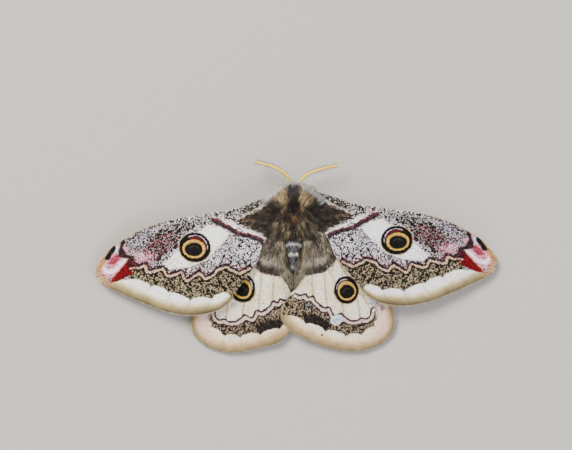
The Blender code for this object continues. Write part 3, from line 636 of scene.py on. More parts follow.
hindwing = {
    "kind": "hindwing", "columns": 150, "rows": 120, "thickness": 0.3, "hinge": (2, 5.5),
    "fringe": (0.31, 0.78),
    "front": ((1.6, 6.2), (5.8, 4.2), (11.4, -1.2), (15.9, -5.4), (18.3, -8.9), (19.3, -12.2)),
    "tip": ((19.3, -12.2), (18.5, -14.9), (16.2, -16.9)),
    "back": ((-2.3, -11.6), (-0.7, -13.8), (2, -15.4), (5.3, -16.8), (9.3, -17.8),
             (12.9, -17.9), (16.2, -16.9)),
    "root": ((1.6, 6.2), (1.8, 2.6), (1.5, -1.5), (0.9, -5.2), (-0.4, -7), (-1.9, -9.3),
             (-2.3, -11.6)),
    "leftBack": ((-0.3, -11), (0.1, -13.2), (2.6, -16.1), (5.3, -16.8), (9.3, -17.8),
                 (12.9, -17.9), (16.2, -16.9)),
    "leftRoot": ((1.6, 6.2), (1.8, 2.6), (1.5, -1.5), (0.9, -5.2), (0, -7.6), (-0.3, -11)),
    "veins": (
        ((3, 4.6), (7.4, 1), (11.6, -3.6), (15.8, -8.2), (19, -13.4)),
        ((7.4, 1), (10.6, -4.4), (14.4, -9.8), (16.6, -16.6)),
        ((10.6, -4.4), (12.2, -9), (13, -17.8)),
        ((3, 3.6), (5.6, -0.6), (8.2, -5.6), (9.4, -10.6), (9.5, -17.7)),
        ((5.6, -0.6), (6, -6), (6.4, -11), (5.8, -16.8)),
        ((3, 2), (3.4, -3.4), (3.6, -8.6), (2.2, -15.2)),
    ),
    "eye": dict(centre=(9.95, -6.3), black=(2.28, 2.6), ochre=(1.72, 1.82),
                ochreShift=(0.06, -0.18), pupil=(1.36, 1.28), pupilShift=(0.08, -0.32), turn=12,
                glint=122, span=50, lunule=((-0.8, 0), (-0.2, 0.6), (0.5, 0.5))),
    "baseArc": ((8.6, 1.4), (7.9, 0.3), (7.2, -0.9), (6.1, -2.1), (4.6, -2.7), (2.8, -3),
                (0.6, -3.2)),
    "wave": ((-1.8, -7.4), (0.2, -6.9), (1.2, -7.3), (2.3, -7), (2.7, -7.7), (3.7, -7.5),
             (4.1, -8.2), (4.9, -9), (5.7, -9.7), (6.7, -9.6), (7.1, -10.2), (7.8, -11.1),
             (9, -10.8), (9.8, -11.5), (10.8, -12.1), (12, -12.1), (12.7, -11.7), (13.7, -11.9),
             (14.5, -11.3), (14.7, -10.2), (15.5, -9.2), (16, -8)),
    "notches": ((-2.6, -11.4), (2.3, -12.7), (6, -14.2), (10, -15.1), (13.1, -15.05),
                (15.4, -13.3), (16.3, -11.6), (17.9, -9.6), (19, -8)),
    "bumps": (0.9, 0.5, 0.5, 0.5, 0.45, 0.35, 0.2, 0),
    "outside": ((24, -12), (14, -24), (-8, -20), (-6, -11)),
    "dark": ((1.8, -11.2), (3.6, -10.9), (6.8, -12.5), (6.4, -14.2), (2.4, -12.6)),
    "corner": (  # pink and lilac near the forewing
        ("#e3c9be", "#8f6a66", 0.25, 1, 0.5, 0, (15.2, -9.4), (17.4, -7.4), (19.8, -11.8),
         (17.6, -13), (15.9, -11.6)),
        ("#c9aea8", "#4f3f40", 0.35, 1, 0.4, 0, (15.6, -8.8), (17, -8), (17.6, -9.4),
         (16.4, -10.4)),
        ("#c9c0d2", "#8b8294", 0.25, 1, 0.2, 0, (14.2, -8), (15.3, -7.8), (15.6, -9.2),
         (14.8, -9.6))),
    "blue": (("#8f9db2", "#2f3138", 0.5, 0.6, 0.3, 0, (2.3, -8.8), (3.3, -9), (3.4, -10.2),
              (2.5, -9.9)),),
    "leftShift": (0.2, -0.2), "leftEye": (9.3, -5.75),
}
for wing in (forewing, hindwing):
    wing["outline"] = outlineOf(wing, 1)


def paintHindwing(points, side):
    wing, eye = hindwing, hindwing["eye"]
    depth = depthIn(points, wing["outline"])
    if side < 0:  # its lines bend further back near the body, and its eyespot sits further in
        low = fade(-8, -5, points[:, 1])
        points = points + columns([0 * low, 0.8 * low * fade(3, 10.5, points[:, 0])])
        eye = {**eye, "centre": wing["leftEye"]}
    at = wander(points, 40)
    x = points[:, 0]
    paint = blankPaint(len(points), "#f3ead7", "#6f655c", 0.06)
    lay(paint, 0.7 * ramp(-0.2, 0.7, hills(points, 1.8, 44)), "#e4d5b4", "#6f655c", 0.08)
    layMarks(paint, at, [("#c9b181", "#a58c5e", 0.3, 0.85, 0.16, 0.32, *vein)
                         for vein in wing["veins"]])
    # The hairy base and the dark arc that ends it
    far, inward = nearest(at, curve(wing["baseArc"]))
    lay(paint, ramp(-0.3, 0.3, -inward), "#a79c8c", "#564c42", 0.45)
    lay(paint, fade(0.3, 0.7, far) * 0.9, "#4c4038", "#231d1a", 0.7)
    # The wavy line, the pale band under it and the dark field
    far, out = nearest(at, curve(wing["wave"], 0.15))
    out = -out
    clear = ramp(-0.3, 0.5, x) if side > 0 else np.ones(len(x))
    dark = patch(at, wing["dark"], 0.35)
    layAll(paint, (ramp(0, 0.2, out) * (1 - clear), "#a08b6d", "#302924", 0.6),
           (ramp(0.9, 1.02, out), "#9f8c72", "#1e1814", 0.58),
           (0.9 * dark * ramp(0.9, 1.1, out), "#3d342d", "#1b1716", 0.8),
           (band(0.12, 0.2, 0.66, 0.76, out) * clear, "#dec6b8", "#bf9f92", 0.22),
           (band(0.66, 0.74, 0.94, 1.04, out) * clear, "#3b2c2d", "#221a1b", 0.5),
           (fade(0.12, 0.24, far) * clear, "#3d2c31", "#211719", 0.5))
    layMarks(paint, at, wing["corner"])
    # The scalloped border, tan at the margin and partly darkened there by painted shade
    shade = borderTanAndMarginShade(depth + 0.2 * hills(points, 1.2, 34))
    pink = 0.7 * ramp(13.5, 17, x) * ramp(0.4, 1.4, depth)
    warm = blend(shade, hexValues("#e0cba8"), 0.28) * [1.02, 0.98, 0.92]
    shade = blend(warm, hexValues("#ecc4b8"), pink[:, None])
    lay(paint, patch(at, borderOf(wing), 0.07), shade)
    if side > 0:  # a pale bluish spot lies across the wavy line on this side alone
        away = np.linalg.norm((at - np.array([8.1, -12.05])) / np.array([1.4, 1.05]), axis=1)
        away += 0.16 * hills(points, 0.7, 48)
        lay(paint, 0.95 * fade(0.86, 1, away), "#cdd6db", "#98a4ac", 0.3)
        lay(paint, 0.8 * band(0.6, 0.7, 0.84, 0.96, away), "#eef1f1", "#b9c2c6", 0.2)
        layMarks(paint, at, wing["blue"])
        dot = np.linalg.norm(at - np.array([5.4, -14.9]), axis=1)
        lay(paint, fade(0.2, 0.3, dot), "#4c4a50")
    paintEyespot(paint, wander(points, 70) * 0.5 + points * 0.5, eye)
    return paint


# How high the wings lie, as in the solids

heights = dict(
    foreRoot=6.0, foreSlope=1.1, foreBow=3.1, foreReach=38.0,
    hindRoot=4.6, hindSlope=0.45, hindBow=1.6, hindReach=20.0, hindHinge=(2.5, 6), overlap=0.55,
    top=0.22,  # the upper face above the middle of the solid wing
    vein=0.2, veinWidth=0.26, fold=0.1, foldWidth=1.6)


def forewingHeight(plan, side=1):
    part = plan[:, 0] / heights["foreReach"]
    return heights["foreRoot"] - heights["foreSlope"] * part - heights["foreBow"] * part ** 2


def hindwingHeight(plan, side=1):
    part = np.linalg.norm(plan - np.array(heights["hindHinge"]), axis=1) / heights["hindReach"]
    height = heights["hindRoot"] - heights["hindSlope"] * part - heights["hindBow"] * part ** 2
    lift = fade(1.5, 4.5, plan[:, 1])
    if side < 0:
        lift = lift - 2.0 * fade(-6.8, -4.2, plan[:, 1])
    return height + heights["overlap"] * lift * np.exp(-(plan[:, 0] / 3.0) ** 2)


def forewingPlan(points, side):
    # The left wing is set a little otherwise: three places are carried to three others
    if side > 0:
        return points
    old, new = np.array(forewing["rightMarks"]), np.array(forewing["leftMarks"])
    return (points - old[0]) @ np.linalg.solve(old[1:] - old[0], new[1:] - new[0]) + new[0]


def hindwingPlan(points, side):
    if side > 0:
        return points
    return points + np.array(hindwing["leftShift"]) * fade(-4, 4, points[:, 1])[:, None]


forewing.update(height=forewingHeight, plan=forewingPlan, paint=paintForewing)
hindwing.update(height=hindwingHeight, plan=hindwingPlan, paint=paintHindwing)


def wingMap(points):
    return (points + np.array([4.0, 20.0])) / 46.0


def onWing(points, wing, side, above):
    # Carries places of the painted plan to the wing's upper face, raised by above
    plan = wing["plan"](points, side)
    gap = np.min([distance(points, curve(vein, 0.6)) for vein in wing["veins"]], axis=0)
    relief = heights["vein"] * np.exp(-(gap / heights["veinWidth"]) ** 2)
    relief -= heights["fold"] * (1 - np.exp(-(gap / heights["foldWidth"]) ** 2))
    z = wing["height"](plan, side) + heights["top"] + relief + above
    return columns([side * plan[:, 0], plan[:, 1], z])


def makeWing(wing, side, node):
    # A sheet is stretched between the wing's four edges, then given its thickness
    bm = bmesh.new()
    bmesh.ops.create_grid(bm, x_segments=wing["columns"], y_segments=wing["rows"], size=1.0)
    sheet = close(bm, bpy.data.meshes.new(node + "_sheet"))
    place = readValues(sheet.vertices, "co", 3)
    u, v = (place[:, 0] + 1) / 2, (1 - place[:, 1]) / 2

    def along(line, part, steps=600):
        return sample(even(curve(line), steps), np.linspace(0.0, 1.0, steps), part)

    front, tip, back, root = edgesOf(wing, side)
    u1, v1 = u[:, None], v[:, None]
    corners = [np.array(p, float) for p in (front[0], front[-1], back[0], back[-1])]
    flat = (along(front, u) * (1 - v1) + along(back, u) * v1
            + along(root, v) * (1 - u1) + along(tip, v) * u1
            - (corners[0] * (1 - u1) * (1 - v1) + corners[1] * u1 * (1 - v1)
               + corners[2] * (1 - u1) * v1 + corners[3] * u1 * v1))
    setPlaces(sheet, onWing(flat, wing, side, 0.0))
    setTint(sheet, pick(wing["paint"](flat, side), flat, np.random.default_rng(3)))
    setMap(sheet, wingMap(flat) * 0.5)
    bm = bmesh.new()
    bm.from_mesh(sheet)
    lower = bm.verts[:]
    bmesh.ops.extrude_face_region(bm, geom=bm.faces[:])
    bmesh.ops.translate(bm, verts=lower, vec=(0.0, 0.0, -wing["thickness"] * mm))
    bmesh.ops.recalc_face_normals(bm, faces=bm.faces)
    close(bm, sheet)
    tint = readValues(sheet.attributes["tint"].data, "color", 4)
    tint[:len(flat), :3] = tint[:len(flat), :3] * 0.8 + 0.11  # the same markings below, paler
    sheet.attributes["tint"].data.foreach_set("color", tint.ravel())
    below = np.repeat(readValues(sheet.polygons, "normal", 3)[:, 2] < 0, 4)
    spread = readValues(sheet.uv_layers["OFBake"].uv, "vector", 2) + 0.5 * below[:, None]
    sheet.uv_layers["OFBake"].uv.foreach_set("vector", spread.astype(np.float32).ravel())
    sheet.shade_smooth()
    keep(sheet, materials["scaledWing"], wing["kind"], node)


# Scales on the upper face, each a small tile over the foot of the next one out. A real scale is
# half as large, and the pepper of dark scales is drawn coarser with them

scales = {
    "length": 0.27, "width": 0.17, "step": 0.145, "lift": 0.05, "sunk": 0.1, "stray": 0.05,
    # A tile's corners: how far out, how far aside and how high, then its buried foot
    "tile": ((-0.5, -0.36, 0.0), (-0.5, 0.36, 0.0), (0.36, 0.5, 0.8), (0.5, 0.0, 1.0),
             (0.36, -0.5, 0.8), (0.0, 0.0, None)),
    "flat": ((-0.5, -0.4), (0.5, -0.4), (0.5, 0.4), (0.0, 0.5), (-0.5, 0.4), (0.0, 0.0)),
    "faces": ((0, 1, 2), (0, 2, 4), (2, 3, 4), (1, 0, 5), (2, 1, 5), (3, 2, 5), (4, 3, 5),
              (0, 4, 5)),
}


def layScales(wing, side, node):
    draw = np.random.default_rng(17)
    outline = outlineOf(wing, side)
    x, y = np.meshgrid(*(np.arange(low, high, scales["step"])
                         for low, high in zip(outline.min(0), outline.max(0))))
    spots = columns([x.ravel(), y.ravel()])
    spots += draw.uniform(-scales["stray"], scales["stray"], spots.shape)
    spots = spots[depthIn(spots, outline) > 0.1]
    out = unit(spots - np.array(wing["hinge"]))
    out = unit(out + draw.normal(0.0, 0.12, out.shape))
    across = columns([-out[:, 1], out[:, 0]])
    size = draw.uniform(0.85, 1.15, (len(spots), 1))
    corners = []
    for ahead, aside, rise in scales["tile"]:
        where = spots + (out * ahead * scales["length"] + across * aside * scales["width"]) * size
        above = -scales["sunk"] if rise is None else scales["lift"] * rise + 0.012
        corners.append(onWing(where, wing, side, above))
        if rise is not None:
            corners[-1][:, 2] += draw.uniform(0.0, 0.02, len(spots)) * rise
    colour = np.repeat(pick(wing["paint"](spots, side), spots, draw), len(corners), 0)
    flat = wingMap(spots)[:, None] + 0.003 * np.array(scales["flat"])[None]
    mesh = meshFromArrays(node + "_scales", np.stack(corners, 1),
                          np.array(scales["faces"])[:, ::side], colour, flat)
    keep(mesh, materials["scaledWing"], wing["kind"])


# Fringe of narrow scales along the outer margin

fringe = dict(length=0.5, width=0.12, step=0.05, rows=2)


def layFringe(wing, side, node):
    draw = np.random.default_rng(23)
    outline = outlineOf(wing, side)
    line = even(outline, int(lengths(outline)[-1] / fringe["step"]))
    ahead = unit(np.roll(line, -1, 0) - np.roll(line, 1, 0))
    out = columns([ahead[:, 1], -ahead[:, 0]])
    if (depthIn(line + 0.3 * out, outline) > 0).mean() > 0.5:
        out = -out
    part = np.linspace(0.0, 1.0, len(line))
    start, stop = wing["fringe"]
    chosen = (part > start) & (part < stop)
    line, out = (np.repeat(rows[chosen], fringe["rows"], 0) for rows in (line, out))
    count = len(line)
    line = line + draw.normal(0.0, 0.04, line.shape)
    goal = line + out * (fringe["length"] * draw.uniform(0.55, 1.0, (count, 1)) - 0.15)
    goal += draw.normal(0.0, 0.05, goal.shape)
    root = onWing(line - out * 0.3, wing, side, -0.1)
    tip = onWing(goal, wing, side, -0.12)
    tip[:, 2] += draw.normal(0.0, 0.04, count)
    root[:, 2] += draw.uniform(-0.1, 0.06, count)
    colours = either(draw, count, 0.5, "#8d7f63", "#ab9c7c")
    hair = hairOf(draw, root, tip, 0.0, fringe["width"], colours, wingMap(line))
    hair["rootTint"] = hair["tipTint"] * 0.97
    growHair(node + "_fringe", hair, materials["scaledWing"], wing["kind"])


print("wings")
for side, word in sides:
    for wing in (forewing, hindwing):
        for make in (makeWing, layScales, layFringe):
            make(wing, side, f"{wing['kind']}_{word}")


# The body's skin: one loft from the face to the tip of the abdomen, inside the coat

body = {
    # Place along the body, half width, half height, height of the middle
    "stations": (
        (13.6, 0, 0, 3.1), (13.5, 0.55, 0.45, 3.1), (13.2, 1.1, 0.95, 3.15),
        (12.8, 1.5, 1.25, 3.25), (12.2, 1.7, 1.4, 3.35), (11.5, 1.95, 1.8, 3.55),
        (10.7, 2.9, 2.5, 3.85), (9.4, 3.6, 3.15, 4.05), (7.8, 3.8, 3.3, 4.1),
        (6.2, 3.45, 2.95, 4), (4.9, 2.7, 2.3, 3.4), (4, 2.3, 1.95, 2.85), (3, 2.2, 1.9, 2.7),
        (1, 2.05, 1.8, 2.55), (-1.5, 1.7, 1.5, 2.2), (-3.8, 1.15, 1.05, 1.85),
        (-5.4, 0.6, 0.55, 1.5), (-6, 0, 0, 1.35)),
    "around": 56, "rings": 140,
    "segments": (-5.0, -3.8, -2.2, -0.4, 1.45, 3.2),  # where one ring of the abdomen ends
    "step": 0.1,
    "bands": ((2.35, 1.7), (0.5, 1.15), (-2.1, 0.7)),  # pale rings: place and half width
}
bodyLine = curve(body["stations"], 0.1)[::-1]


def bodyPoint(y, angle, out=0.0):
    # angle is 0 on the back and grows towards the right side
    wide, tall, z = (np.interp(y, bodyLine[:, 0], bodyLine[:, k]) for k in (1, 2, 3))
    return columns([(wide + out) * np.sin(angle), y, z + (tall + out) * np.cos(angle)])


def bodyNormal(y, angle):
    ahead = bodyPoint(y + 0.05, angle) - bodyPoint(y - 0.05, angle)
    around = bodyPoint(y, angle + 0.02) - bodyPoint(y, angle - 0.02)
    return unit(np.cross(around, ahead))


def bodyMap(y, angle):
    return columns([angle / (2 * math.pi) * 0.96 + 0.5, (y + 7.0) / 22.0])


def sideMap(points):
    return bodyMap(points[:, 1], angleOf(points))


def angleOf(points):
    return np.arctan2(points[:, 0], points[:, 2] - 3.0)


def paintBody(points):
    # The coat's colours seen from above, in the plan of the back
    at = wander(points, 80)
    x, y = np.abs(at[:, 0]), at[:, 1]
    paint = blankPaint(len(points), "#5f503c", "#1a130e", 0.66)
    rusty = fade(0.6, 2.2, x) * fade(0.2, 0.9, np.abs(y - 7.4))
    layAll(paint, (ramp(3.8, 5.2, x) * ramp(5.5, 7, y), "#4f4234", "#19140f", 0.7),
           (band(0.6, 1.8, 3.6, 5, x) * ramp(8.2, 10.2, y), "#97825f", "#3e3223", 0.37),
           (fade(0.5, 1.4, x) * ramp(8.2, 9.8, y), "#372c23", "#110d0a", 0.76),
           (0.34 * rusty, "#744824", "#3a2512", 0.5),
           (band(0.4, 0.9, 1.9, 2.6, x) * fade(6, 7, y), "#857353", "#2a2219", 0.5),
           (ramp(2.4, 3, x) * fade(6, 7, y), "#70654f", "#28211a", 0.55))
    return paint


def paintAbdomen(points):
    at = wander(points, 90)
    x, y = np.abs(at[:, 0]), at[:, 1]
    paint = blankPaint(len(points), "#6f6e6e", "#2f2d2e", 0.5)
    layAll(paint, (0.6 * fade(-2, 0.2, y), "#a19d97", "#4b4743", 0.4),
           (ramp(1.6, 2.1, x), "#7d7163", "#3a322a", 0.55))
    for ring, wide in body["bands"]:
        ring = fade(0.14, 0.34, np.abs(y + 0.12 * x ** 2 - ring)) * fade(wide - 0.3, wide, x)
        lay(paint, ring, "#f2f0ea", "#bdb9b1", 0.2)
    lay(paint, fade(-4.4, -3, y), "#9b8d76", "#4c4236", 0.44)
    return paint


def backColours(points, at, draw):
    return pick(paintBody(points), at, draw, 0.6, 0.4)


def coatColour(plan, angle, draw):
    # The back's markings, which give way to plain grey brown on the flanks and belly
    upper = backColours(plan, plan, draw)
    behind = pick(paintAbdomen(plan), plan, draw, 0.6, 0.2)
    colour = blend(behind, upper, ramp(3.6, 4.6, plan[:, 1])[:, None])
    belly = either(draw, len(plan), 0.5, "#665a4b", "#40372d")
    return blend(colour, belly, ramp(1.5, 2.1, np.abs(angle))[:, None])


def makeSkin():
    bm = bmesh.new()
    bmesh.ops.create_uvsphere(bm, u_segments=body["around"], v_segments=body["rings"], radius=1.0,
                              matrix=Matrix.Rotation(math.radians(-90.0), 4, "X"))
    skin = close(bm, bpy.data.meshes.new("body_skin"))
    place = readValues(skin.vertices, "co", 3)
    part = np.arccos(np.clip(place[:, 1], -1, 1)) / math.pi
    y = blend(bodyLine[-1, 0], bodyLine[0, 0], part)
    after = np.interp(y, body["segments"], np.arange(len(body["segments"])))
    inwards = np.where(y < 3.4, -body["step"] * (after % 1.0), 0.0) * ramp(-6, -5, y)
    setPlaces(skin, bodyPoint(y, np.arctan2(place[:, 0], place[:, 2]), inwards))
    bm = bmesh.new()
    bm.from_mesh(skin)
    bmesh.ops.remove_doubles(bm, verts=bm.verts, dist=1e-7)
    bmesh.ops.recalc_face_normals(bm, faces=bm.faces)
    close(bm, skin)
    place = readValues(skin.vertices, "co", 3) / mm - [middleLine, 0, 0]
    skin.shade_smooth()
    setTint(skin, coatColour(place[:, :2], angleOf(place), np.random.default_rng(2)) * 0.6)
    setMap(skin, sideMap(place))
    keep(skin, materials["bodyChitin"], "fur", "thorax", "head", "abdomen")


print("body")
makeSkin()


# The coat of hair. The solids' locks give its places: a ruff in front, shoulders, back and rear.
# locks says how far, over what size and by which seed neighbouring hairs lean the same way

coat = {
    "ruff": dict(seed=101, count=13000, width=0.11, halfWidth=6.0, front=14.25, fall=0.07,
                 locks=(0.22, 0.8, 7), stray=0.1),
    "shoulder": dict(seed=102, count=8000, width=0.105, locks=(0.3, 1.2, 17), stray=0.12),
    "back": dict(seed=103, count=9500, width=0.1, length=2.2, locks=(0.32, 0.9, 27), stray=0.1),
    "rear": dict(seed=104, count=3000, width=0.11, locks=(0.35, 0.8, 37), stray=0.1),
    "belly": dict(seed=105, count=6000, width=0.13, length=1.3, locks=(0.12, 0.7, 105),
                  stray=0.05, span=(4.2, 11.6), angles=(1.15, math.pi), lift=0.3),
    "abdomen": dict(seed=110, count=9500, width=0.11, length=1.05, locks=(0.12, 0.7, 110),
                    stray=0.05, span=(-5.95, 4.6), angles=(0.0, math.pi), lift=0.12),
    "head": dict(seed=106, count=3600, width=0.09, locks=(0.1, 0.5, 47), stray=0.05,
                 eye=(1.85, 12.8, 2.95), aroundEye=0.86),
    "wingBase": dict(seed=107, count=6200, width=0.09, length=2.9, locks=(0.3, 0.9, 57)),
    "foreBase": dict(seed=108, count=2600, width=0.1, length=1.3, wedge=(
        (1.5, 12.2), (4.8, 10.6), (6.4, 9.5), (8.4, 8.6), (10.4, 7.6), (8.1, 6.7), (6, 5.3),
        (4.4, 4.3), (1.5, 4.6))),
    "flank": dict(seed=112, count=5200, width=0.09),
    "straw": dict(seed=109, count=14, width=0.06),
}
chest = {"centre": np.array([0.0, 7.9, 4.1]), "half": np.array([4.1, 4.2, 3.6])}


def begin(name):
    return coat[name], coat[name]["count"], np.random.default_rng(coat[name]["seed"])


def grow(name, part, draw, root, tip, bend, colours, flat=None, slot="fur"):
    flat = sideMap(root) if flat is None else flat
    hair = hairOf(draw, root, tip, bend, part["width"], colours, flat)
    growHair(name, hair, materials["softFur"], slot)


def eitherSide(draw, count):
    return np.where(draw.random(count) < 0.5, -1.0, 1.0)


def onChest(turn, tilt, sink):
    # turn goes round from the head end, and tilt rises from the waist line
    turn, tilt = np.radians(turn), np.radians(tilt)
    way = columns([np.sin(turn) * np.cos(tilt), np.cos(turn) * np.cos(tilt), np.sin(tilt)])
    return chest["centre"] + way * (chest["half"] - sink)


def domeOver(x, y):
    return 1 - (x / chest["half"][0]) ** 2 - ((y - chest["centre"][1]) / chest["half"][1]) ** 2


def locksTogether(points, amount, size, seed):
    # Neighbouring hairs lean the same way, so they part into locks
    plan = points[:, :2]
    return amount * (drift(plan, size, seed, 3) + 0.6 * drift(plan, size * 0.45, seed + 5, 3))


def intoLocks(tip, part, draw):
    return tip + (locksTogether(tip, *part["locks"]) + draw.normal(0.0, part["stray"], tip.shape))


def clearOfForewing(points):
    # Hair over a forewing stays just above it
    out, y = np.abs(points[:, 0]), points[:, 1]
    ground = forewingHeight(columns([out, y])) + heights["top"] + 0.25
    over = (out > 2.6) & (y < 13.4 - 0.32 * out) & (y > 12.0 - 1.6 * out)
    points[:, 2] = np.where(over, np.maximum(points[:, 2], ground), points[:, 2])
    return points


def growRuff():
    part, count, draw = begin("ruff")
    across = draw.uniform(-1.0, 1.0, count)
    aside = np.abs(across)
    tier = draw.random(count) ** 1.4
    uneven = aside * draw.normal(0.0, 1.0, count)
    out = (part["halfWidth"] - 1.6 * tier) * across + 0.35 * uneven
    front = part["front"] - part["fall"] * out ** 2 - 2.4 * tier - 0.3 * np.abs(uneven)
    tilt = 26.0 + 38.0 * tier
    tilt = tilt + np.maximum(0.0, 52.0 - tilt) * aside
    root = onChest(80.0 * across + 6.0 * uneven, tilt + draw.normal(0.0, 4.0, count), 0.45)
    root += draw.normal(0.0, 0.12, root.shape)
    tip = columns([out, front, 5.1 + 2.0 * tier + 0.7 * aside])
    tip = clearOfForewing(intoLocks(tip, part, draw))
    root = blend(root, tip, (0.4 * draw.random(count) * (0.3 + 0.7 * aside))[:, None])
    bend = np.outer(0.55 + 0.2 * tier, up) + draw.normal(0.0, 0.08, root.shape)
    colours = backColours(tip[:, :2] - [0, 0.5], tip[:, :2], draw)
    hair = hairOf(draw, root, tip, bend, part["width"], colours, sideMap(root))
    pale = either(draw, count, 0.25, "#a5a09a", "#f0eeeb")
    stray = draw.normal(0.0, 0.1, count)

    def paleRim(place, shade):
        # White hair beyond a line that slants from the brow to the wing's cream streak
        line = 13.75 - 0.75 * np.maximum(np.abs(place[:, 0]) - 1.1, 0.0)
        return blend(shade, pale, ramp(-0.15, 0.15, place[:, 1] - line + stray)[:, None])

    hair["recolour"] = paleRim
    growHair("ruff_hair", hair, materials["softFur"], "fur")


def growShoulders():
    part, count, draw = begin("shoulder")
    side = eitherSide(draw, count)
    back, high = draw.random(count), draw.random(count)
    root = onChest(side * (50.0 + 104.0 * back), 46.0 + 30.0 * high, 0.35)
    root += draw.normal(0.0, 0.1, root.shape)
    tip = columns([side * (5.3 - 2.3 * high - 1.0 * back), root[:, 1] - 1.7 - 1.0 * back,
                   6.4 + 0.8 * high])
    tip = clearOfForewing(intoLocks(tip, part, draw))
    bend = np.outer(side, (0.25, 0.0, 0.0)) + 0.4 * up
    colours = backColours(tip[:, :2] * 0.7 + root[:, :2] * 0.3, tip[:, :2], draw)
    grow("shoulder_hair", part, draw, root, tip, bend, colours)


def growBack():
    part, count, draw = begin("back")
    x, y = draw.uniform(-3.0, 3.0, count), draw.uniform(4.8, 11.6, count)
    dome = domeOver(x, y)
    x, y, dome = x[dome > 0.1], y[dome > 0.1], dome[dome > 0.1]
    root = columns([x, y, 4.1 + 3.6 * np.sqrt(dome) - 0.45])
    tuft = np.exp(-(x ** 2 + ((y - 7.6) / 0.8) ** 2))
    length = part["length"] * draw.uniform(0.7, 1.15, len(x)) * (1 - 0.45 * tuft)
    length = np.minimum(length, np.maximum(y - 2.9, 0.8))
    goal = columns([x + 0.22 * x * length, y - length])
    dome = np.maximum(domeOver(*goal.T), 0.12)
    tip = columns([goal, 4.1 + 3.6 * np.sqrt(dome) + 0.45 + 0.5 * tuft])
    tip = intoLocks(tip, part, draw)
    colours = backColours(tip[:, :2] * 0.5 + root[:, :2] * 0.5, root[:, :2], draw)
    grow("back_hair", part, draw, root, tip, 0.42 * up, colours)


def growRear():
    # The tufts that end the thorax and meet over the abdomen's first rings
    part, count, draw = begin("rear")
    across = draw.uniform(-1.0, 1.0, count)
    aside, way = np.abs(across), np.sign(across)
    root = onChest(180.0 - 44.0 * across, 34.0 + 26.0 * draw.random(count), 0.4)
    y = 3.4 + 0.7 * draw.random(count) - 0.4 * (1 - aside)
    tip = columns([2.9 * across + 0.35 * way, y, 5.6 + 0.5 * draw.random(count)])
    tip[:, 0] += -0.5 * way * fade(0.2, 0.7, aside)
    tip = clearOfForewing(intoLocks(tip, part, draw))
    colours = backColours(tip[:, :2] + [0, 1.2], tip[:, :2], draw)
    grow("rear_hair", part, draw, root, tip, 0.4 * up, colours)


def growOnBody(kind, slot):
    # Hair set evenly on the skin that lies back along the body
    part, count, draw = begin(kind)
    y = draw.uniform(*part["span"], count * 3)
    wide = np.interp(y, bodyLine[:, 0], bodyLine[:, 1])
    y = y[draw.random(count * 3) < wide / wide.max()][:count]
    angle = draw.uniform(*part["angles"], len(y)) * eitherSide(draw, len(y))
    root, normal, lift = bodyPoint(y, angle, -0.08), bodyNormal(y, angle), part["lift"]
    length = part["length"] * draw.uniform(0.7, 1.2, len(y)) * (0.55 + 0.45 * ramp(-5.6, -1, y))
    lie = np.array([0.0, -1.0, 0.0]) + 0.25 * normal * lift
    lie = unit(lie - 0.7 * normal * (lie * normal).sum(1, keepdims=True) + lift * normal)
    tip = intoLocks(root + lie * length[:, None], part, draw)
    tip[:, 2] = np.maximum(tip[:, 2], 0.15)
    colours = coatColour(tip[:, :2] * 0.6 + root[:, :2] * 0.4, angle, draw)
    grow(kind + "_hair", part, draw, root, tip, normal * 0.12 * length[:, None], colours,
         bodyMap(y, angle), slot)


def growHead():
    # Short hair on the face, grey on top at the front and brown elsewhere
    part, count, draw = begin("head")
    y, angle = draw.uniform(11.6, 13.55, count), draw.uniform(-math.pi, math.pi, count)
    root = bodyPoint(y, angle, -0.06)
    gaps = [np.linalg.norm(root - np.array(part["eye"]) * [side, 1, 1], axis=1)
            for side, _ in sides]
    clear = np.min(gaps, axis=0) > part["aroundEye"]
    y, angle, root = y[clear], angle[clear], root[clear]
    normal = bodyNormal(y, angle)
    lie = unit(np.array([0.0, 0.75, -0.15]) + 0.55 * normal)
    tip = intoLocks(root + lie * (0.5 * draw.uniform(0.6, 1.2, (len(y), 1))), part, draw)
    grey = either(draw, len(y), 0.4, "#8a8278", "#c9c4bb")
    brown = either(draw, len(y), 0.5, "#7a6a55", "#51463a")
    pale = ramp(-0.4, 0.6, np.cos(angle)) * ramp(12.9, 13.4, tip[:, 1])  # the ruff covers the rest
    grow("head_hair", part, draw, root, tip, 0.08 * normal, blend(brown, grey, pale[:, None]),
         bodyMap(y, angle))


def closing(out, y, draw):
    # Hair beside the abdomen ends in a point behind it
    most = 2.5 - 0.86 * np.maximum(-3.5 - y, 0.0)
    most = np.maximum(most, 0.1) * draw.uniform(0.55, 1.0, len(out)) + 10 * (y > -3.5)
    return np.minimum(out, most)


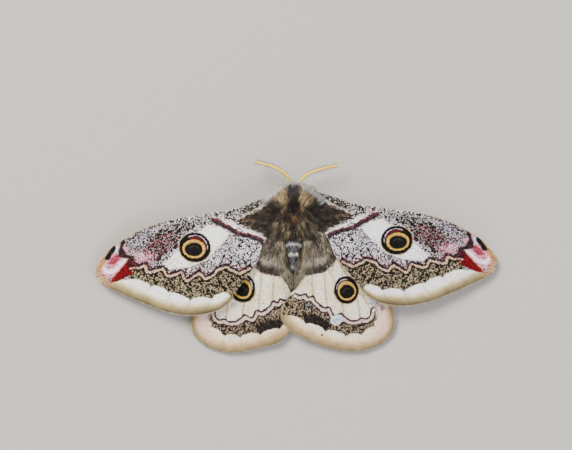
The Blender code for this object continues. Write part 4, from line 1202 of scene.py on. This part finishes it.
def growWingBase(side, word):
    # Long soft hair over the hindwing's base and inner margin, lying back beside the abdomen
    part, count, draw = begin("wingBase")
    x = 1.7 + 5.4 * draw.random(count) ** 1.1
    y = draw.uniform(-0.6, 4.4, count)
    near = draw.random(count) < 0.3
    y[near] = draw.uniform(-3.2, 4.0, near.sum())
    x[near] = draw.uniform(1.5, 2.6, near.sum()) + 0.35 * ramp(-1, 2, y[near])
    start = columns([x, y])
    inside = depthIn(start, outlineOf(hindwing, side)) > 0.15
    start, near = start[inside], near[inside]
    x, y, count = *start.T, len(start)
    length = part["length"] * draw.uniform(0.6, 1.15, count) * (1 - 0.4 * ramp(2.6, 5.5, x))
    aside = np.where(near, 0.1 - 0.45 * fade(-2, 1, y), 0.1 + 0.045 * x)
    goal = start + columns([aside, -np.ones(count)]) * length[:, None]
    goal[near, 0] = closing(goal[near, 0], goal[near, 1], draw)
    goal += locksTogether(goal, *part["locks"])[:, :2]
    root = onWing(start, hindwing, side, -0.12)
    tip = onWing(goal, hindwing, side, 0.28)
    tip[:, 2] += 0.5 * draw.random(count) * fade(2, 4.5, x) + 0.1 * draw.random(count)
    mid = (goal + start) / 2
    arc = distance(goal, curve(hindwing["baseArc"]))
    paint = blankPaint(count, "#948873", "#322b24", 0.52)
    layAll(paint, (fade(-0.6, 1, mid[:, 1]), "#bcb19c", "#5d5447", 0.32),
           (0.85 * fade(0.2, 0.7, arc), "#5a4d40", "#28211c", 0.65),
           (fade(1.9, 2.7, mid[:, 0]) * 0.8, "#a99a80", "#50463a", 0.44))
    grow(f"hindwing_{word}_hair", part, draw, root, tip, 0.25 * up,
         pick(paint, mid, draw, 0.4, 0.25), wingMap(start), "hindwing")


def growForeBase(side, word):
    # Short hair where the forewing meets the body, in the colours painted there
    part, count, draw = begin("foreBase")
    start = columns([draw.uniform(2.8, 9.0, count * 2), draw.uniform(4.5, 12.0, count * 2)])
    start = start[depthIn(start, outlineOf(forewing, side)) > 0.1]
    brown = depthIn(start, part["wedge"]) > 0
    start = start[brown & (draw.random(len(start)) > ramp(7, 10, start[:, 0]))]
    way = unit(np.array([1.0, -0.35]) + draw.normal(0.0, 0.15, start.shape))
    goal = start + way * (part["length"] * draw.uniform(0.6, 1.2, len(start)))[:, None]
    root = onWing(start, forewing, side, -0.1)
    tip = onWing(goal, forewing, side, 0.3)
    colours = pick(paintForewing((start + goal) / 2, side), start, draw, 0.5)
    grow(f"forewing_{word}_hair", part, draw, root, tip, 0.12 * up, colours, wingMap(start),
         "forewing")


def growFlanks():
    # Long hair from both sides that closes over the abdomen and leaves its middle bare
    part, count, draw = begin("flank")
    side = eitherSide(draw, count)
    y = draw.uniform(-4.3, 4.6, count)
    out = draw.uniform(1.45, 2.9, count) + 0.35 * ramp(-1, 2, y) - 0.4 * np.maximum(-1 - y, 0)
    goalY = np.maximum(y - draw.uniform(1.4, 2.9, count), -6.1 + 0.3 * draw.random(count))
    bare = np.clip(1.95 - 0.3 * (2.5 - goalY), 0.0, 1.95)
    goalOut = bare + (out - bare) * draw.random(count) * 0.8
    goalOut = goalOut + 0.18 * hills(columns([side * out, y]), 0.7, 61)
    goalOut = closing(goalOut, goalY, draw)
    ground = hindwingHeight(columns([goalOut, goalY])) + 0.5
    root = columns([side * out, y, 4.75 - 0.05 * np.abs(y - 3.0)])
    tip = columns([side * goalOut, goalY, np.maximum(5.05 - 0.13 * (4.0 - goalY), ground)])
    tip += draw.normal(0.0, 0.06, tip.shape)
    mid = (root + tip)[:, :2] / 2
    paint = blankPaint(count, "#847761", "#2a231c", 0.56)
    lay(paint, 0.8 * fade(-2.6, -0.4, mid[:, 1]), "#aa9c82", "#4a4035", 0.42)
    grow("flank_hair", part, draw, root, tip, 0.3 * up, pick(paint, mid, draw, 0.5, 0.4))


def growStraw():
    # A few long straw-yellow hairs beside the abdomen
    part, count, draw = begin("straw")
    side = np.where(np.arange(count) % 2 == 0, -1.0, 1.0)
    start = columns([side * draw.uniform(2.1, 2.6, count), draw.uniform(2.4, 3.8, count)])
    goal = columns([side * draw.uniform(1.2, 2.4, count), draw.uniform(-3.4, -0.8, count)])
    root = columns([start, draw.uniform(5.0, 5.4, count)])
    tip = columns([goal, draw.uniform(4.9, 5.3, count)])
    colours = either(draw, count, 0.4, "#9c8650", "#cbb56c")
    grow("straw_hair", part, draw, root, tip, 0.35 * up, colours)


print("coat")
growRuff()
growShoulders()
growBack()
growRear()
growOnBody("belly", "fur")
growOnBody("abdomen", "abdomen")
growHead()
for side, word in sides:
    growWingBase(side, word)
    growForeBase(side, word)
growFlanks()
growStraw()


# Eyes, feelers and legs

def growTube(bm, path, radii, edges):
    # A round tapering limb along a path, closed at both ends
    made = bmesh.ops.create_circle(bm, cap_ends=True, segments=edges, radius=1.0)
    cap = made["verts"][0].link_faces[0]
    before = Matrix.Identity(4)
    for i, place in enumerate(path):
        ahead = Vector(path[min(i + 1, len(path) - 1)]) - Vector(path[max(i - 1, 0)])
        now = ahead.to_track_quat("Z", "Y").to_matrix().to_4x4()
        now = now @ Matrix.Diagonal((radii[i], radii[i], 1.0, 1.0))
        now.translation = Vector(place)
        if i:
            old = cap
            grown = bmesh.ops.extrude_face_region(bm, geom=[cap])["geom"]
            cap = next(part for part in grown if isinstance(part, bmesh.types.BMFace))
            if i > 1:
                bmesh.ops.delete(bm, geom=[old], context="FACES_ONLY")
        bmesh.ops.transform(bm, matrix=now @ before.inverted(), verts=cap.verts)
        before = now


def finishTube(name, bm, values, finish, slot, node):
    bmesh.ops.transform(bm, matrix=Matrix.Scale(mm, 4) @ Matrix.Translation((middleLine, 0, 0)),
                        verts=bm.verts)
    bmesh.ops.recalc_face_normals(bm, faces=bm.faces)
    mesh = close(bm, bpy.data.meshes.new(name))
    mesh.shade_smooth()
    plan = readValues(mesh.vertices, "co", 3)[:, :2] / mm
    first, second = (hexValues(tone) for tone in values["tones"])
    setTint(mesh, blend(first, second, 0.5 + 0.5 * hills(plan, *values["mottle"])[:, None]))
    keep(mesh, materials[finish], slot, node)


eyes = dict(place=(1.85, 12.8, 2.95), radius=0.75, facet=0.07, middle="#3a2a20", rim="#0b0807")
eyeMaterial = facetedEye(eyes)


def makeEye(side, word):
    bm = bmesh.new()
    bmesh.ops.create_icosphere(bm, subdivisions=5, radius=eyes["radius"] * mm)
    x, y, z = eyes["place"]
    bmesh.ops.translate(bm, verts=bm.verts, vec=Vector((side * x + middleLine, y, z)) * mm)
    mesh = close(bm, bpy.data.meshes.new(f"eye_{word}_facets"))
    mesh.shade_smooth()
    keep(mesh, eyeMaterial, "eye", f"eye_{word}")


feeler = {
    "root": ((0.5, 12.4, 3.4), (1.05, 13.7, 4.3)),
    "paths": {1: ((1.6, 14.6, 4.8), (2.8, 15.6, 5.1), (5.3, 16.5, 5.3), (8.4, 17.2, 5.1)),
              -1: ((1.1, 15.0, 4.8), (2.1, 16.0, 5.1), (4.3, 17.1, 5.3), (7.4, 17.9, 5.1))},
    "thick": 0.23, "thin": 0.14, "tones": ("#f4d000", "#cc9f00"), "mottle": (0.3, 12),
    "pairs": 24, "branch": 0.8, "branchWidth": 0.17, "branchTone": "#6b5318",
}


def makeFeeler(side, word):
    line = curve([*feeler["root"], *feeler["paths"][side]], 0.09)
    line[:, 0] *= side
    steps = np.linspace(0.0, 1.0, len(line))
    rings = 1 + 0.1 * np.cos(np.arange(len(line)) * 2.1)
    bm = bmesh.new()
    growTube(bm, line, blend(feeler["thick"], feeler["thin"], steps) * rings, 8)
    finishTube(f"feeler_{word}_shaft", bm, feeler, "scaledWing", "antenna", f"antenna_{word}")
    draw = np.random.default_rng(120)
    count = feeler["pairs"] * 2
    where = np.repeat(np.linspace(0.24, 0.97, feeler["pairs"]), 2)
    root = sample(line, steps, where)
    ahead = unit(sample(line, steps, where + 0.01) - root)
    across = unit(np.cross(ahead, up)) * np.where(np.arange(count) % 2 == 0, 1, -1)[:, None]
    reach = feeler["branch"] * np.sin(math.pi * np.clip(1.15 - where, 0, 1)) ** 0.5
    reach = (reach * draw.uniform(0.85, 1.15, count))[:, None]
    tip = root + (across * 0.85 + ahead * 0.5 - 0.25 * up) * reach
    hair = hairOf(draw, root, tip, 0.0, feeler["branchWidth"],
                  np.tile(hexValues(feeler["branchTone"]), (count, 1)),
                  columns([where, np.tile([0.3, 0.7], feeler["pairs"])]))
    hair["rootTint"] = hair["tipTint"] * 0.9
    growHair(f"feeler_{word}_branches", hair, materials["hardChitin"], "antenna")


legs = {
    "fore": ((1.7, 10.0, 1.9), (4.7, 10.6, 3.0), (6.9, 10.1, 0.75), (10.3, 8.6, 0.2)),
    "mid": ((2.3, 7.8, 1.8), (6.1, 7.2, 2.9), (8.9, 5.4, 0.75), (12.1, 3.2, 0.2)),
    "hind": ((2.1, 6.0, 1.9), (5.4, 2.4, 2.6), (7.6, -1.4, 0.75), (9.4, -5.2, 0.2)),
}
limb = {
    "thigh": 0.42, "shin": 0.3, "foot": 0.17, "joints": 5, "tones": ("#5a4632", "#33271d"),
    "mottle": (0.5, 14), "hairs": 700, "hairLength": 0.8, "hairWidth": 0.09,
    # A claw's points: how far beyond the toe, how far aside, how far down, and their radii
    "claw": ((-0.1, 0, 0), (0.12, 0.1, 0), (0.26, 0.16, 0.05), (0.34, 0.17, 0.13)),
    "clawRadii": (0.07, 0.06, 0.04, 0.012),
}


def makeLeg(pair, side, word):
    hip, knee, ankle, toe = (np.array(point) * [side, 1, 1] for point in legs[pair])
    path, radii = [], []
    for start, end, thick, swell in ((hip, knee, limb["thigh"], 0.35),
                                     (knee, ankle, limb["shin"], 0.2)):
        for t in np.linspace(0.0, 0.93, 9):
            path.append(blend(start, end, t))
            radii.append(thick * (0.72 + swell * math.sin(math.pi * t)))
    for joint in range(limb["joints"]):
        for t, size in ((0.1, 0.8), (0.5, 0.92), (0.85, 1.1)):
            part = (joint + t) / limb["joints"]
            path.append(blend(ankle, toe, part))
            radii.append(limb["foot"] * size * (1 - 0.25 * part))
    bm = bmesh.new()
    growTube(bm, path, radii, 10)
    ahead = unit(toe - ankle)
    across = unit(np.cross(ahead, up))
    for way in (-1, 1):
        claw = [toe + ahead * out + across * way * aside - up * down
                for out, aside, down in limb["claw"]]
        growTube(bm, claw, limb["clawRadii"], 6)
    name = f"leg_{pair}_{word}"
    finishTube(name + "_limb", bm, limb, "hardChitin", "leg", name)
    draw = np.random.default_rng(130)
    count = limb["hairs"]
    t = draw.random(count)
    onThigh = (draw.random(count) < 0.55)[:, None]
    start, end = np.where(onThigh, hip, knee), np.where(onThigh, knee, ankle)
    axis = unit(end - start)
    out = unit(np.cross(axis, draw.normal(0.0, 1.0, (count, 3))))
    thick = np.where(onThigh, limb["thigh"], limb["shin"])
    root = blend(start, end, t[:, None]) + out * thick * 0.7
    tip = root + axis * limb["hairLength"] * 0.8 + out * limb["hairLength"] * 0.3 - 0.12 * up
    tip += draw.normal(0.0, 0.07, tip.shape)
    tip[:, 2] = np.maximum(tip[:, 2], 0.12)
    hair = hairOf(draw, root, tip, 0.0, limb["hairWidth"],
                  either(draw, count, 0.45, "#8a7860", "#594b3c"),
                  columns([0.1 + 0.8 * t, 0.5 + 0.4 * out[:, 2]]))
    growHair(name + "_hair", hair, materials["softFur"], "leg")


print("eyes, feelers and legs")
for side, word in sides:
    makeEye(side, word)
    makeFeeler(side, word)
    for pair in legs:
        makeLeg(pair, side, word)


# Floor, light and camera

studio = dict(floorSize=1.6, fibre=0.8, dark="#94918c", light="#9d9a96", world=0.75,
              worldColour=(0.98, 0.98, 1.0, 1.0), lens=100.0, sensor=36.0, viewWidth=107.6,
              viewCentre=(-1.91, 5.94), wingPlane=5.0)
lights = {  # place and size in metres, power in watts, colour
    "key": ((-0.22, 0.30, 0.55), 0.3, 10.6, "#fffaf2"),
    "fill": ((0.45, -0.15, 0.45), 0.5, 3.3, "#f4f6ff"),
    "front": ((0.0, -0.5, 0.3), 0.4, 1.6, "#ffffff"),
}
bm = bmesh.new()
bmesh.ops.create_grid(bm, x_segments=2, y_segments=2, size=studio["floorSize"] / 2)
floorMesh = close(bm, bpy.data.meshes.new("floor"))
floorMesh.materials.append(floorMaterial(studio))
floor = bpy.data.objects.new("floor", floorMesh)
scene.collection.objects.link(floor)

for name, (place, size, power, colour) in lights.items():
    data = bpy.data.lights.new(name, "AREA")
    data.shape = "DISK"
    data.size = size
    data.energy = power
    data.color = tuple(toLinear(colour))
    light = bpy.data.objects.new(name, data)
    light.location = place
    light.rotation_euler = (-Vector(place)).to_track_quat("-Z", "Y").to_euler()
    scene.collection.objects.link(light)
world = bpy.data.worlds.new("studio")
world.use_nodes = True
setInputs(world.node_tree, world.node_tree.nodes["Background"], {
    "Color": studio["worldColour"], "Strength": studio["world"]})
scene.world = world

cameraData = bpy.data.cameras.new("camera")
cameraData.lens = studio["lens"]
cameraData.sensor_width = studio["sensor"]
cameraData.clip_start = 0.01
camera = bpy.data.objects.new("camera", cameraData)
height = studio["wingPlane"] + studio["viewWidth"] * studio["lens"] / studio["sensor"]
camera.location = Vector((*studio["viewCentre"], height)) * mm
scene.collection.objects.link(camera)
scene.camera = camera

print("done")
